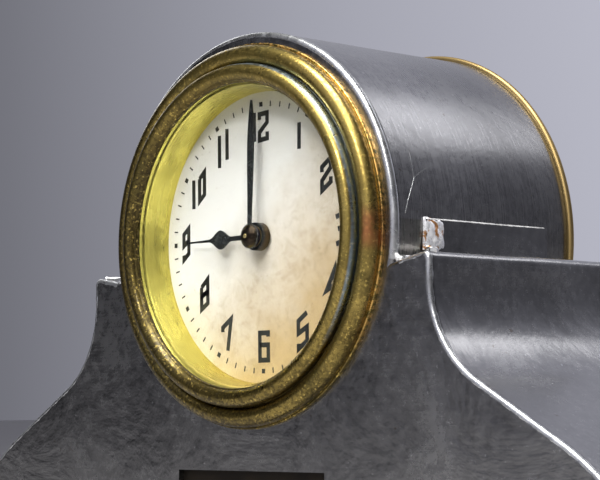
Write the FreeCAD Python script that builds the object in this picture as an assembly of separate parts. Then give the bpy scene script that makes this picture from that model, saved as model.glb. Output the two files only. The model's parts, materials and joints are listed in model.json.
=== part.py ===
# Tambour mantel clock: a soldered sheet-metal case with a round drum, flared
# shoulders and a window recess, around a thirty-hour spring-driven movement.
# Units are millimetres. +Z is up, the dial faces -Y, the base rests on z = 0.
# Positions inside are given as (x, d, z): d is the depth behind the front
# plate and z is the height above the dial axis.
import FreeCAD
import Part
import math
import os

os.makedirs("parts", exist_ok=True)
Vec = FreeCAD.Vector

# ---- case ----
case_depth = 46.0
axis_height = 72.0
drum_radius = 36.3
front_sheet = 1.2
side_sheet = 0.8
rim_depth = 1.3
drum_end = case_depth + 0.3 - rim_depth
drum_inner = drum_radius - side_sheet
plinth_height = 8.0
pad_height = 1.5
neck_x = 44.1
neck_z = -10.0
tip_round = 1.4
tip_top = -5.35
joint_z = -6.64
joint_x = math.sqrt(drum_radius ** 2 - joint_z ** 2)
flare_radius = 19.0
flare_turn = 60.0
slope_end_x = 70.0
foot_x = 92.7
plinth_half_width = foot_x + 2.8
plinth_half_depth = case_depth / 2 + 2.5
window_half = 19.1
window_top = -41.6
window_bottom = -57.0

# ---- dial and hands ----
dial_depth = 4.15
dial_sheet = 0.35
dial_back = dial_depth + dial_sheet
hand_depth = dial_depth - 3.25
dial_radius = 30.5
ring_radius = 26.2
lip_radius = 27.1
bezel_radius = 34.35
plate_hole = 30.7
minute_tip = 24.4
minute_set = 2.0
hour_tip = 18.2

# ---- movement ----
plate_radius = 31.0
plate_sheet = 1.2
front_depth = 7.0
back_depth = 29.0
cover_face = drum_end + rim_depth - 0.3
arbor_run = 0.05
main_at = (-12.02, -12.02)
third_at = (-7.14, 12.37)
fourth_at = (3.52, 16.25)
escape_at = (12.49, 12.07)
pallet_at = (15.59, 6.70)
balance_at = (16.37, -2.27)
motion_at = (4.80, -8.314)
centre_at = (0.0, 0.0)
pillar_ring = 27.5
pillar_angles = (30, 100, 170, 300)
strap_angles = (65, 190, 335)
screw_ring = drum_inner - 2.6
foot_angles = (75, 195, 315)
balance_radius = 8.0

AXIS = Vec(0, 1, 0)


def at(x, d, z):
    return Vec(x, d - case_depth / 2, z + axis_height)


def polar(radius, degrees, centre=(0.0, 0.0)):
    a = math.radians(degrees)
    return (centre[0] + radius * math.cos(a), centre[1] + radius * math.sin(a))


def rod(radius, d0, d1, centre=(0.0, 0.0)):
    return Part.makeCylinder(radius, d1 - d0, at(centre[0], d0, centre[1]), AXIS)


def tube(outer, inner, d0, d1, centre=(0.0, 0.0)):
    return rod(outer, d0, d1, centre).cut(rod(inner, d0 - 1, d1 + 1, centre))


def block(x0, x1, d0, d1, z0, z1):
    return Part.makeBox(x1 - x0, d1 - d0, z1 - z0, at(x0, d0, z0))


def outline_edges(path, to_point):
    """Edges from a path of points; an entry ("arc", mid, end) is an arc."""
    edges = []
    here = to_point(path[0])
    for item in path[1:]:
        if item[0] == "arc":
            mid = to_point(item[1])
            end = to_point(item[2])
            edges.append(Part.Arc(here, mid, end).toShape())
        else:
            end = to_point(item)
            edges.append(Part.makeLine(here, end))
        here = end
    first = to_point(path[0])
    if here.distanceToPoint(first) > 1e-6:
        edges.append(Part.makeLine(here, first))
    return edges


def turned(path, centre=(0.0, 0.0)):
    """A turned piece from a section of (radius, depth) points."""
    edges = outline_edges(path, lambda p: at(centre[0] + p[0], p[1], centre[1]))
    face = Part.Face(Part.Wire(edges))
    return face.revolve(at(centre[0], 0, centre[1]), AXIS, 360)


def sheet(path, d0, d1):
    """A flat piece from an outline of (x, z) points."""
    edges = outline_edges(path, lambda p: at(p[0], d0, p[1]))
    return Part.Face(Part.Wire(edges)).extrude(Vec(0, d1 - d0, 0))


def save(name, *shapes):
    solids = []
    for shape in shapes:
        solids.extend(shape.Solids)
    whole = solids[0] if len(solids) == 1 else Part.makeCompound(solids)
    whole.exportStep("parts/" + name + ".step")


def mirrored(shape):
    return shape.mirror(Vec(0, 0, 0), Vec(1, 0, 0))


def joined(shapes):
    whole = shapes[0]
    for shape in shapes[1:]:
        whole = whole.fuse(shape)
    return whole.removeSplitter()


# ---------------------------------------------------------------- case


def flare_points(inset):
    """Outline of the right side from the drum joint down to the foot."""
    turn = math.radians(flare_turn)
    centre_x = neck_x + flare_radius
    radius = flare_radius + inset
    tangent = (math.sin(turn), -math.cos(turn))
    inward = (-math.cos(turn), -math.sin(turn))
    start = polar(flare_radius, 180 + flare_turn, (centre_x, neck_z))
    run = (slope_end_x - start[0]) / tangent[0]
    knee = (slope_end_x, start[1] + run * tangent[1])
    foot_z = plinth_height - axis_height
    across = (foot_x - knee[0], foot_z - knee[1])
    along = across[0] * inward[0] + across[1] * inward[1]
    belly = (across[0] ** 2 + across[1] ** 2) / (2 * along)
    belly_at = (knee[0] + belly * inward[0], knee[1] + belly * inward[1])
    corner_at = (neck_x - tip_round, tip_top - tip_round)
    small = tip_round - inset
    reach = belly - inset
    last = math.degrees(math.asin((foot_z - belly_at[1]) / reach))
    first = flare_turn
    middle = (first + last) / 2
    mid_x = (joint_x + corner_at[0]) / 2 + 0.3
    return [
        (joint_x, joint_z - inset),
        ("arc", (mid_x, -5.92 - inset), (corner_at[0], tip_top - inset)),
        ("arc", polar(small, 45, corner_at), polar(small, 0, corner_at)),
        (neck_x - inset, neck_z),
        ("arc", polar(radius, 180 + flare_turn / 2, (centre_x, neck_z)),
         polar(radius, 180 + flare_turn, (centre_x, neck_z))),
        (knee[0] + inset * inward[0], knee[1] + inset * inward[1]),
        ("arc", polar(reach, middle, belly_at), polar(reach, last, belly_at)),
    ]


def reverse_path(path):
    """The same path walked from its end to its start."""
    ends = [p[2] if p[0] == "arc" else p for p in path]
    back = [ends[-1]]
    for i in range(len(path) - 1, 0, -1):
        item = path[i]
        if item[0] == "arc":
            back.append(("arc", item[1], ends[i - 1]))
        else:
            back.append(ends[i - 1])
    return back


def flip(path):
    out = []
    for p in path:
        if p[0] == "arc":
            out.append(("arc", (-p[1][0], p[1][1]), (-p[2][0], p[2][1])))
        else:
            out.append((-p[0], p[1]))
    return out


def case_outline():
    right = flare_points(0.0)
    left = flip(reverse_path(right))
    over = [("arc", (0.0, drum_radius), (joint_x, joint_z))]
    return [left[0]] + left[1:] + over + right[1:]


def skirt_outline():
    right = flare_points(0.0)
    left = flip(reverse_path(right))
    return [left[0]] + left[1:] + right


def window_cutter(d0, d1):
    return block(-window_half, window_half, d0, d1, window_bottom, window_top)


def front_plate():
    plate = sheet(case_outline(), 0.0, front_sheet)
    plate = plate.cut(rod(plate_hole, -1, 3))
    plate = plate.cut(window_cutter(-1, 3))
    front_y = -case_depth / 2
    foot_z = plinth_height + 0.01
    edges = []
    for edge in plate.Edges:
        box = edge.BoundBox
        top = box.ZMax > axis_height + drum_radius - 0.1
        on_front = box.YMax < front_y + 0.01
        hole = box.XMax < plate_hole + 0.1 and box.XMin > -plate_hole - 0.1
        if on_front and not hole and box.ZMax > foot_z:
            if top or box.XMin > joint_x - 0.5 or box.XMax < 0.5 - joint_x:
                edges.append(edge)
    return plate.makeFillet(0.9, edges)


def back_plate():
    plate = sheet(skirt_outline(), case_depth - front_sheet, case_depth)
    return plate.cut(rod(drum_radius + 1.0, case_depth - 3, case_depth + 1))


def side_wrap():
    outer = flare_points(0.0)
    inner = reverse_path(flare_points(side_sheet))
    strip = sheet(outer + inner, front_sheet, case_depth - front_sheet)
    inner_x = drum_radius
    flange = block(inner_x, inner_x + 0.6, 7.2, 38.6, joint_z - side_sheet, 0.7)
    wrap = strip.fuse(flange)
    wrap = wrap.cut(rod(drum_radius, 0, 2 * case_depth))
    rim = rod(drum_radius + 0.95, drum_end - 0.1, 2 * case_depth)
    return wrap.cut(rim).removeSplitter()


def solder_wedge(wrap):
    r = drum_radius
    path = [
        (r - 0.1, 6.4), (r + 0.6, 6.5), (r + 0.95, 7.4), (r + 0.9, 9.6),
        (r + 0.6, 11.4), (r + 0.6, 7.2), (r - 0.1, 7.2),
    ]
    points = [at(p[0], p[1], -6.9) for p in path]
    wire = Part.makePolygon(points + [points[0]])
    wedge = Part.Face(wire).extrude(Vec(0, 0, 7.3))
    return wedge.cut(rod(drum_radius, 0, 50)).cut(wrap)


def drum_shell():
    path = [
        (drum_inner, front_sheet),
        (drum_radius - 0.3, front_sheet),
        ("arc", (drum_radius - 0.09, front_sheet + 0.09),
         (drum_radius, front_sheet + 0.3)),
        (drum_radius, drum_end),
        (drum_inner, drum_end),
    ]
    return turned(path)


def base_plinth():
    height = plinth_height - pad_height
    low = pad_height
    outer = Part.makeBox(2 * plinth_half_width, 2 * plinth_half_depth, height,
                         Vec(-plinth_half_width, -plinth_half_depth, low))
    top = [e for e in outer.Edges if e.BoundBox.ZMin > plinth_height - 0.01]
    side = [e for e in outer.Edges if e.BoundBox.ZLength > height - 0.01]
    outer = outer.makeFillet(1.4, top + side)
    wall = 1.0
    inner = Part.makeBox(2 * (plinth_half_width - wall),
                         2 * (plinth_half_depth - wall), height - wall,
                         Vec(-plinth_half_width + wall,
                             -plinth_half_depth + wall, low))
    return outer.cut(inner)


def corners(x, y):
    return [(x, y), (-x, y), (-x, -y), (x, -y)]


def base_pieces():
    half_x = plinth_half_width - 1.1
    half_y = plinth_half_depth - 1.1
    plate = Part.makeBox(2 * half_x, 2 * half_y, 0.8,
                         Vec(-half_x, -half_y, pad_height))
    posts = []
    screws = []
    pads = []
    for x, y in corners(half_x - 4.0, half_y - 4.0):
        hole = Part.makeCylinder(0.85, 8, Vec(x, y, 0))
        plate = plate.cut(hole)
        post = Part.makeBox(6, 6, plinth_height - 1.0 - pad_height - 0.8,
                            Vec(x - 3, y - 3, pad_height + 0.8))
        posts.append(post.cut(hole))
        head = Part.makeCylinder(1.7, 0.9, Vec(x, y, pad_height - 0.9))
        slot = Part.makeBox(4, 0.5, 0.4, Vec(x - 2, y - 0.25, pad_height - 0.9))
        shank = Part.makeCylinder(0.8, 4.5, Vec(x, y, pad_height))
        screws.append(head.cut(slot).fuse(shank))
    for x, y in corners(half_x - 14.0, half_y - 7.0) + [(0.0, 0.0)]:
        pads.append(Part.makeCylinder(5.0, pad_height, Vec(x, y, 0)))
    return plate, posts, screws, pads


def rounded_plate(x, z0, z1, radius, d0, d1):
    """A flat rectangle from -x to x with four rounded corners."""
    r = radius
    k = r * (1 - math.sqrt(0.5))
    path = [
        (-x + r, z0), (x - r, z0), ("arc", (x - k, z0 + k), (x, z0 + r)),
        (x, z1 - r), ("arc", (x - k, z1 - k), (x - r, z1)),
        (-x + r, z1), ("arc", (-x + k, z1 - k), (-x, z1 - r)),
        (-x, z0 + r), ("arc", (-x + k, z0 + k), (-x + r, z0)),
    ]
    return sheet(path, d0, d1)


def window_frame():
    low = window_bottom - 1.5
    high = window_top + 1.5
    frame = rounded_plate(window_half + 2.0, low, high, 1.0, 1.2, 2.0)
    return frame.cut(rounded_plate(16.0, low + 3.9, high - 3.9, 2.5, 1.0, 3.0))


def window_panel():
    low = window_bottom - 1.0
    high = window_top + 1.0
    tray = rounded_plate(window_half + 1.4, low, high, 1.0, 2.0, 8.0)
    room = rounded_plate(window_half + 0.8, low + 0.6, high - 0.6, 0.6, 1.0, 7.4)
    return tray.cut(room)


def bezel():
    path = [
        (bezel_radius, 0.0), (bezel_radius, -0.5), (33.8, -0.6),
        ("arc", (32.1, -3.1), (30.4, -1.9)),
        ("arc", (28.8, -4.6), (lip_radius, -3.2)),
        (lip_radius, -2.6), (27.9, -2.6), (27.9, -3.0),
        ("arc", (28.8, -4.0), (29.9, -2.4)),
        (30.1, -0.9), (30.1, 2.4), (30.6, 2.4), (30.6, -0.6),
        ("arc", (31.9, -2.4), (33.2, 0.0)),
    ]
    return turned(path)


def reflector_ring():
    path = [
        (27.0, -2.6), (29.4, -2.6), (29.4, -2.3), (27.3, -2.3),
        (ring_radius + 0.3, dial_depth), (ring_radius, dial_depth),
    ]
    return turned(path)


def crystal():
    return rod(26.8, -1.9, -1.1)


def dial():
    disc = rod(dial_radius, dial_depth, dial_back)
    return disc.cut(rod(2.1, 0, 10))


def dial_feet():
    return [rod(0.6, dial_back, 8.7, polar(28.3, a)) for a in foot_angles]


def slot_cutter(radius, width, middle, sweep, d0, d1, centre):
    """A curved slot about a centre, as an annular sector."""
    ring = tube(radius + width / 2, radius - width / 2, d0, d1, centre)
    far = radius * 3
    points = [centre]
    for i in range(7):
        angle = middle - sweep + sweep * i / 3.0
        points.append(polar(far, angle, centre))
    return ring.common(sheet(points, d0, d1))


def back_cover():
    face = cover_face
    wide = drum_radius + 0.3
    path = [
        (0.0, face - 0.8), (drum_inner, face - 0.8), (drum_inner, drum_end),
        (wide, drum_end), ("arc", (wide + 0.6, face - 0.35), (wide, face + 0.3)),
        (drum_inner + 0.2, face + 0.3), (drum_inner - 0.6, face), (0.0, face),
    ]
    cover = turned(path)
    low = face - 5
    high = face + 5
    cover = cover.cut(rod(1.7, low, high))
    cover = cover.cut(rod(2.3, low, high, main_at))
    cover = cover.cut(slot_cutter(9.0, 2.0, 20, 34, low, high, balance_at))
    for a in strap_angles:
        cover = cover.cut(rod(0.85, low, high, polar(screw_ring, a)))
    return cover


def strap(angle):
    wide = 2.6
    low = back_depth + plate_sheet
    high = cover_face - 0.8
    along = block(drum_inner - 0.8, drum_radius, low, high, -wide, wide)
    inner = block(27.8, drum_radius, low, low + 0.8, -wide, wide)
    outer = block(30.8, drum_radius, high - 0.8, high, -wide, wide)
    piece = along.fuse(inner).fuse(outer).common(rod(drum_inner, 20, 80))
    piece = piece.cut(rod(0.65, 20, low + 4, (29.5, 0.0)))
    piece = piece.cut(rod(0.85, high - 4, 80, (screw_ring, 0.0)))
    piece = piece.removeSplitter()
    piece.rotate(at(0, 0, 0), AXIS, -angle)
    return piece


def pan_screw(centre, head_d, tip_d, head_r, shank_r):
    """A slotted screw with its head behind head_d and its tip at tip_d."""
    head = rod(head_r, head_d, head_d + 0.8, centre)
    slot = block(centre[0] - 3, centre[0] + 3, head_d + 0.45, head_d + 2,
                 centre[1] - 0.25, centre[1] + 0.25)
    return head.cut(slot).fuse(rod(shank_r, tip_d, head_d, centre))


# ------------------------------------------------------------ movement

WHEEL = (0.24, 0.20, 0.14, 0.05, 0.95, 1.30)
PINION = (0.12, 0.15, 0.11, 0.05, 0.75, 1.55)


def tooth_path(teeth, module, phase, form):
    """Outline of a toothed wheel: root, flank, shoulder and tip per tooth."""
    root, flank, shoulder, tip, addendum, dedendum = form
    pitch = teeth * module / 2
    step = 360.0 / teeth
    low = pitch - dedendum * module
    mid = pitch + 0.55 * addendum * module
    high = pitch + addendum * module
    shape = [(-root, low), (-flank, pitch), (-shoulder, mid), (-tip, high)]
    shape = shape + [(-f, r) for f, r in reversed(shape)]
    path = []
    for i in range(teeth):
        for fraction, radius in shape:
            path.append((radius, phase + step * (i + fraction)))
    return path


def toothed(teeth, module, phase, form, d0, d1, centre):
    path = tooth_path(teeth, module, phase, form)
    return sheet([polar(r, a, centre) for r, a in path], d0, d1)


def crossings(outer, inner, arms, width, d0, d1, centre):
    """The openings between the arms of a wheel."""
    ring = tube(outer, inner, d0 - 1, d1 + 1, centre)
    for i in range(arms):
        bar = block(0, outer + 2, d0 - 2, d1 + 2, -width / 2, width / 2)
        bar.rotate(at(0, 0, 0), AXIS, 360.0 * i / arms)
        bar.translate(Vec(centre[0], 0, centre[1]))
        ring = ring.cut(bar)
    return ring


def wheel(teeth, module, phase, d0, d1, centre, bore, arms=4):
    pitch = teeth * module / 2
    body = toothed(teeth, module, phase, WHEEL, d0, d1, centre)
    gaps = crossings(pitch - 2.4 * module, 2.4, arms, 1.3, d0, d1, centre)
    return body.cut(gaps).cut(rod(bore, d0 - 1, d1 + 1, centre))


def heading(a, b):
    return math.degrees(math.atan2(b[1] - a[1], b[0] - a[0]))


def meshed(a, b, teeth_a, teeth_b, phase_a):
    """Phase of wheel b whose gap receives a tooth of wheel a."""
    phi = heading(a, b)
    return phi + 180 + 180.0 / teeth_b - (phase_a - phi) * teeth_a / teeth_b


centre_phase = 0.0
great_phase = meshed(centre_at, main_at, 8, 60, centre_phase)
third_phase = meshed(centre_at, third_at, 60, 8, centre_phase)
fourth_phase = meshed(third_at, fourth_at, 56, 7, third_phase)
escape_phase = meshed(fourth_at, escape_at, 60, 6, fourth_phase)
motion_phase = meshed(centre_at, motion_at, 12, 36, centre_phase)
hour_phase = meshed(motion_at, centre_at, 10, 40, motion_phase)


def stepped_arbor(centre, pivot, body, front, back):
    """An arbor whose thin pivots run in the two plates."""
    path = [
        (0, front), (pivot, front), (pivot, 8.3), (body, 8.3),
        (body, 28.9), (pivot, 28.9), (pivot, back), (0, back),
    ]
    return turned(path, centre)


def pivot_holes():
    small = 0.4 + arbor_run
    return [
        (centre_at, 0.8 + arbor_run), (third_at, small), (fourth_at, small),
        (escape_at, small), (pallet_at, small), (balance_at, 1.2),
    ]


def movement_front_plate():
    plate = rod(plate_radius, front_depth, front_depth + plate_sheet)
    holes = pivot_holes() + [(main_at, 1.05)]
    holes = holes + [(polar(pillar_ring, a), 0.95) for a in pillar_angles]
    holes = holes + [(polar(28.3, a), 0.65) for a in foot_angles]
    for centre, radius in holes:
        plate = plate.cut(rod(radius, 5, 10, centre))
    return joined([plate, minute_wheel_post(), mainspring_post()])


def movement_back_plate():
    plate = rod(plate_radius, back_depth, back_depth + plate_sheet)
    holes = pivot_holes() + [(main_at, 1.45)]
    holes = holes + [(polar(pillar_ring, a), 0.95) for a in pillar_angles]
    holes = holes + [(polar(29.5, a), 0.65) for a in strap_angles]
    for centre, radius in holes:
        plate = plate.cut(rod(radius, 27, 33, centre))
    return joined([plate, hairspring_stud()])


def pillar(angle):
    centre = polar(pillar_ring, angle)
    path = [
        (0, front_depth), (0.9, front_depth), (0.9, 8.2), (1.7, 8.2),
        (1.7, 10.0), (1.3, 10.6), (1.3, 26.6), (1.7, 27.2), (1.7, back_depth),
        (0.9, back_depth), (0.9, 32.2), (0, 32.2),
    ]
    return turned(path, centre)


def pillar_nut(angle):
    centre = polar(pillar_ring, angle)
    points = [polar(2.1, 60 * i, centre) for i in range(6)]
    return sheet(points, 30.2, 31.7).cut(rod(0.9, 29, 33, centre))


def spiral(centre, inner, outer, turns, thick, start, d0, d1):
    """A flat coiled strip wound from an inner to an outer radius."""
    count = int(turns * 16)
    inside = []
    outside = []
    for i in range(count + 1):
        share = i / count
        radius = inner + (outer - inner) * share
        angle = start + 360 * turns * share
        near = polar(radius - thick / 2, angle, centre)
        far = polar(radius + thick / 2, angle, centre)
        inside.append(at(near[0], d0, near[1]))
        outside.append(at(far[0], d0, far[1]))
    one = Part.BSplineCurve()
    one.interpolate(inside)
    two = Part.BSplineCurve()
    two.interpolate(outside)
    ends = [Part.makeLine(inside[-1], outside[-1]),
            Part.makeLine(outside[0], inside[0])]
    wire = Part.Wire([one.toShape(), ends[0], two.toShape(), ends[1]])
    return Part.Face(wire).extrude(Vec(0, d1 - d0, 0))


spring_post_at = polar(14.0, 180, main_at)
stud_at = polar(6.1, 250, balance_at)


def mainspring():
    return spiral(main_at, 3.0, 12.8, 6.5, 0.35, 0, 14.0, 23.9)


def mainspring_post():
    return rod(1.0, 7.6, 23.8, spring_post_at)


def main_arbor():
    path = [
        (0, 7.2), (1.0, 7.2), (1.0, 8.3), (1.8, 8.3), (1.8, 12.0),
        (2.4, 12.4), (2.4, 24.3), (1.5, 24.3), (1.5, 28.9), (1.4, 28.9),
        (1.4, cover_face + 5.0), (0, cover_face + 5.0),
    ]
    return turned(path, main_at)


def great_wheel():
    body = toothed(60, 0.5, great_phase, WHEEL, 24.5, 25.5, main_at)
    body = body.cut(rod(1.55, 20, 30, main_at))
    body = body.cut(rod(0.7, 20, 30, click_at))
    for i in range(5):
        hole = polar(9.6, click_angle + 60 * (i + 1), main_at)
        body = body.cut(rod(2.2, 20, 30, hole))
    return body


click_angle = 60.0
click_at = polar(9.4, click_angle, main_at)


def ratchet_wheel():
    points = []
    for i in range(18):
        points.append(polar(5.2, 20 * i, main_at))
        points.append(polar(6.0, 20 * i + 2.5, main_at))
        points.append(polar(5.9, 20 * i + 4.0, main_at))
    return sheet(points, 25.7, 26.6).cut(rod(1.5, 20, 30, main_at))


def click():
    boss = rod(1.5, 25.7, 26.5, click_at)
    nose = polar(6.25, click_angle + 24, main_at)
    near = polar(1.3, click_angle - 150, click_at)
    far = polar(1.4, click_angle + 60, click_at)
    back = polar(7.4, click_angle + 26, main_at)
    arm = sheet([near, nose, back, far], 25.7, 26.5)
    return joined([boss, arm]).cut(rod(0.75, 20, 30, click_at))


def click_rivet():
    return rod(0.7, 24.5, 26.6, click_at).fuse(rod(1.2, 26.6, 27.2, click_at))


def click_spring():
    """A bent strip that presses behind the click, fixed by its foot."""
    points = []
    for i in range(9):
        points.append(polar(12.2 - 0.055 * i * i, click_angle - 26 + 7.4 * i, main_at))
    for i in range(8, -1, -1):
        points.append(polar(12.5 - 0.055 * i * i, click_angle - 26 + 7.4 * i, main_at))
    strip = sheet(points, 25.7, 26.3)
    foot = rod(0.9, 25.5, 26.5, polar(12.3, click_angle - 27, main_at))
    return joined([strip, foot])


def winding_key():
    face = cover_face
    hub = tube(2.7, 1.4, face + 1.4, face + 7.5, main_at)
    wings = []
    for side in (-1, 1):
        x = main_at[0] + side * 4.9
        start = at(x, face + 9.0, main_at[1] - 0.8)
        lobe = Part.makeCylinder(4.0, 1.6, start, Vec(0, 0, 1))
        hole = Part.makeCylinder(1.7, 4, start - Vec(0, 0, 1), Vec(0, 0, 1))
        wings.append(lobe.cut(hole))
    bridge = block(main_at[0] - 2.4, main_at[0] + 2.4, face + 6.4, face + 10.5,
                   main_at[1] - 0.8, main_at[1] + 0.8)
    solid = joined([hub, bridge] + wings)
    return solid.cut(rod(1.4, face + 1.0, face + 5.2, main_at))


def centre_arbor():
    path = [
        (0, hand_depth - 0.45), (0.8, hand_depth - 0.45), (0.8, 8.3),
        (1.2, 8.3), (1.2, 28.9),
        (0.8, 28.9), (0.8, cover_face + 5.0), (0, cover_face + 5.0),
    ]
    return turned(path)


def centre_wheel():
    return wheel(60, 0.42, centre_phase, 10.0, 10.8, centre_at, 1.2)


def centre_pinion():
    leaves = toothed(8, 0.5, centre_phase, PINION, 24.2, 25.8, centre_at)
    return leaves.cut(rod(1.2, 20, 30))


def cannon_pinion():
    leaves = toothed(12, 0.4, centre_phase, PINION, 5.9, 6.85, centre_at)
    pipe = rod(1.25, hand_depth + 1.1, 6.0)
    return leaves.fuse(pipe).cut(rod(0.8, 0, 8))


def minute_wheel():
    body = toothed(36, 0.4, motion_phase, WHEEL, 6.1, 6.6, motion_at)
    leaves = toothed(10, 0.384, motion_phase, PINION, 4.8, 6.1, motion_at)
    return body.fuse(leaves).cut(rod(0.56, 4, 8, motion_at))


def minute_wheel_post():
    return rod(0.5, 4.55, 8.2, motion_at)


def hour_wheel():
    body = toothed(40, 0.384, hour_phase, WHEEL, 5.0, 5.5, centre_at)
    pipe = rod(1.9, hand_depth + 1.2, 5.2)
    return body.fuse(pipe).cut(rod(1.35, 1, 7))


def hour_hand():
    half = [
        (-2.0, 0.50), (-6.4, 0.42), (-6.9, 0.52), (-7.5, 0.88), (-8.2, 1.36),
        (-8.8, 1.66), (-9.25, 1.75), (-9.7, 1.66), (-10.3, 1.34),
        (-11.0, 0.84), (-11.6, 0.46), (-12.3, 0.26), (-hour_tip, 0.14),
    ]
    points = half + [(x, -z) for x, z in reversed(half)]
    front = hand_depth + 1.3
    blade = sheet(points, front, front + 0.3)
    boss = rod(2.5, front, front + 0.3)
    return joined([blade, boss]).cut(rod(1.9, 1, 3.5))


def hour_hand_collet():
    return tube(2.5, 1.9, hand_depth + 1.6, hand_depth + 3.0)


def minute_hand():
    half = [
        (0.44, 1.8), (0.54, 6.5), (0.68, 10.5), (0.78, 14.5), (0.80, 17.0),
        (0.72, 19.0), (0.58, 20.8), (0.42, 22.5), (0.14, minute_tip),
    ]
    points = half + [(-x, z) for x, z in reversed(half)]
    back = hand_depth + 0.3
    blade = sheet(points, hand_depth, back)
    blade.rotate(at(0, 0, 0), AXIS, minute_set)
    return joined([blade, rod(2.2, hand_depth, back)]).cut(rod(0.8, 0, 2))


def minute_hand_collet():
    return tube(1.9, 0.8, hand_depth + 0.3, hand_depth + 1.1)


def hand_cap():
    face = hand_depth
    path = [
        (0, face - 1.0), ("arc", (1.3, face - 0.72), (2.1, face)), (0.8, face),
        (0.8, face - 0.45), (0, face - 0.45),
    ]
    return turned(path)


def set_knob():
    points = []
    for i in range(28):
        points.append(polar(5.0, 360 * (i - 0.22) / 28))
        points.append(polar(5.0, 360 * (i + 0.22) / 28))
        points.append(polar(4.6, 360 * (i + 0.50) / 28))
    low = cover_face + 1.8
    knob = sheet(points, low, low + 3.6)
    knob = knob.fuse(rod(2.2, low - 0.9, low))
    return knob.cut(rod(0.8, low - 2, cover_face + 5.0))


def arbor_with_pinion(centre, teeth, module, phase, d0, d1):
    arbor = stepped_arbor(centre, 0.4, 0.65, 7.1, 30.1)
    leaves = toothed(teeth, module, phase, PINION, d0, d1, centre)
    return arbor.fuse(leaves)


def third_wheel():
    return wheel(56, 0.36, third_phase, 20.0, 20.7, third_at, 0.65)


def fourth_wheel():
    return wheel(60, 0.30, fourth_phase, 13.0, 13.6, fourth_at, 0.65)


def escape_wheel():
    points = []
    for i in range(15):
        points.append(polar(3.1, 24 * i, escape_at))
        points.append(polar(4.2, 24 * i + 7.0, escape_at))
        points.append(polar(4.1, 24 * i + 9.5, escape_at))
        points.append(polar(3.1, 24 * i + 12.0, escape_at))
    body = sheet(points, 17.0, 17.6)
    gaps = crossings(2.4, 1.4, 4, 0.7, 17.0, 17.6, escape_at)
    return body.cut(gaps).cut(rod(0.65, 16, 19, escape_at))


def pin_spot(side):
    """Place of a pallet pin just outside the escape wheel's tips."""
    angle = heading(escape_at, pallet_at) + side * 37
    return polar(4.86, angle, escape_at)


def pallet_lever():
    toward = heading(pallet_at, balance_at)
    stem = [
        polar(0.8, toward + 90, pallet_at), polar(0.8, toward - 90, pallet_at),
        polar(5.2, toward - 6, pallet_at), polar(6.9, toward - 11, pallet_at),
        polar(6.9, toward - 4.5, pallet_at), polar(5.6, toward - 4.0, pallet_at),
        polar(5.6, toward + 4.0, pallet_at), polar(6.9, toward + 4.5, pallet_at),
        polar(6.9, toward + 11, pallet_at), polar(5.2, toward + 6, pallet_at),
    ]
    pieces = [rod(1.4, 18.1, 18.8, pallet_at), sheet(stem, 18.1, 18.8)]
    for side in (-1, 1):
        spot = pin_spot(side)
        aim = heading(pallet_at, spot)
        arm = [
            polar(0.9, aim + 90, pallet_at), polar(0.9, aim - 90, pallet_at),
            polar(0.55, aim - 90, spot), polar(0.5, aim, spot),
            polar(0.55, aim + 90, spot),
        ]
        pieces.append(sheet(arm, 18.1, 18.8))
    lever = joined(pieces).cut(rod(0.5, 17, 20, pallet_at))
    for side in (-1, 1):
        lever = lever.cut(rod(0.2, 17, 20, pin_spot(side)))
    return lever


def pallet_pins():
    return [rod(0.2, 16.8, 18.8, pin_spot(side)) for side in (-1, 1)]


def pallet_arbor():
    return stepped_arbor(pallet_at, 0.4, 0.5, 7.1, 30.1)


def balance_wheel():
    rim = tube(balance_radius, 6.7, 22.0, 23.4, balance_at)
    arm = block(-6.9, 6.9, 22.2, 23.0, -0.7, 0.7)
    arm.translate(Vec(balance_at[0], 0, balance_at[1]))
    hub = rod(1.5, 22.0, 23.4, balance_at)
    return joined([rim, arm, hub]).cut(rod(0.5, 21, 25, balance_at))


def balance_staff():
    path = [
        (0, 8.95), (0.35, 9.6), (0.5, 10.0), (0.5, 27.2), (0.35, 27.6),
        (0, 28.25),
    ]
    staff = turned(path, balance_at)
    collet = rod(1.0, 24.8, 26.0, balance_at)
    roller = rod(2.2, 19.3, 20.0, balance_at)
    aim = heading(balance_at, pallet_at)
    pin = rod(0.25, 18.2, 19.4, polar(1.6, aim, balance_at))
    return joined([staff, collet, roller, pin])


def hairspring():
    return spiral(balance_at, 1.35, 5.45, 5.5, 0.12, 70, 25.0, 25.7)


def hairspring_stud():
    return rod(0.5, 24.8, 29.6, stud_at)


def balance_screws():
    front = rod(1.9, 5.4, front_depth, balance_at)
    front = front.fuse(rod(1.2, front_depth, 9.4, balance_at))
    cup = Part.makeCone(0.0, 0.9, 0.9, at(balance_at[0], 8.75, balance_at[1]), AXIS)
    front = front.cut(cup)
    back = rod(1.2, 27.9, 31.1, balance_at)
    back = back.fuse(rod(1.9, 31.1, 32.1, balance_at))
    well = Part.makeCone(0.9, 0.0, 0.9, at(balance_at[0], 27.55, balance_at[1]), AXIS)
    slot = block(balance_at[0] - 3, balance_at[0] + 3, 31.6, 33,
                 balance_at[1] - 0.25, balance_at[1] + 0.25)
    return [front, back.cut(well).cut(slot)]


def regulator_index():
    ring = tube(2.6, 1.3, 30.3, 31.0, balance_at)
    arm = block(2.0, 9.5, 30.3, 31.0, -0.7, 0.7)
    face = cover_face
    tail = rod(0.6, 30.3, face + 2.2, (9.0, 0.0))
    knob = rod(0.85, face + 0.6, face + 2.2, (9.0, 0.0))
    lever = joined([arm, tail, knob])
    lever.rotate(at(0, 0, 0), AXIS, -20)
    lever.translate(Vec(balance_at[0], 0, balance_at[1]))
    return joined([ring, lever])


# -------------------------------------------------------------- build


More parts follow.
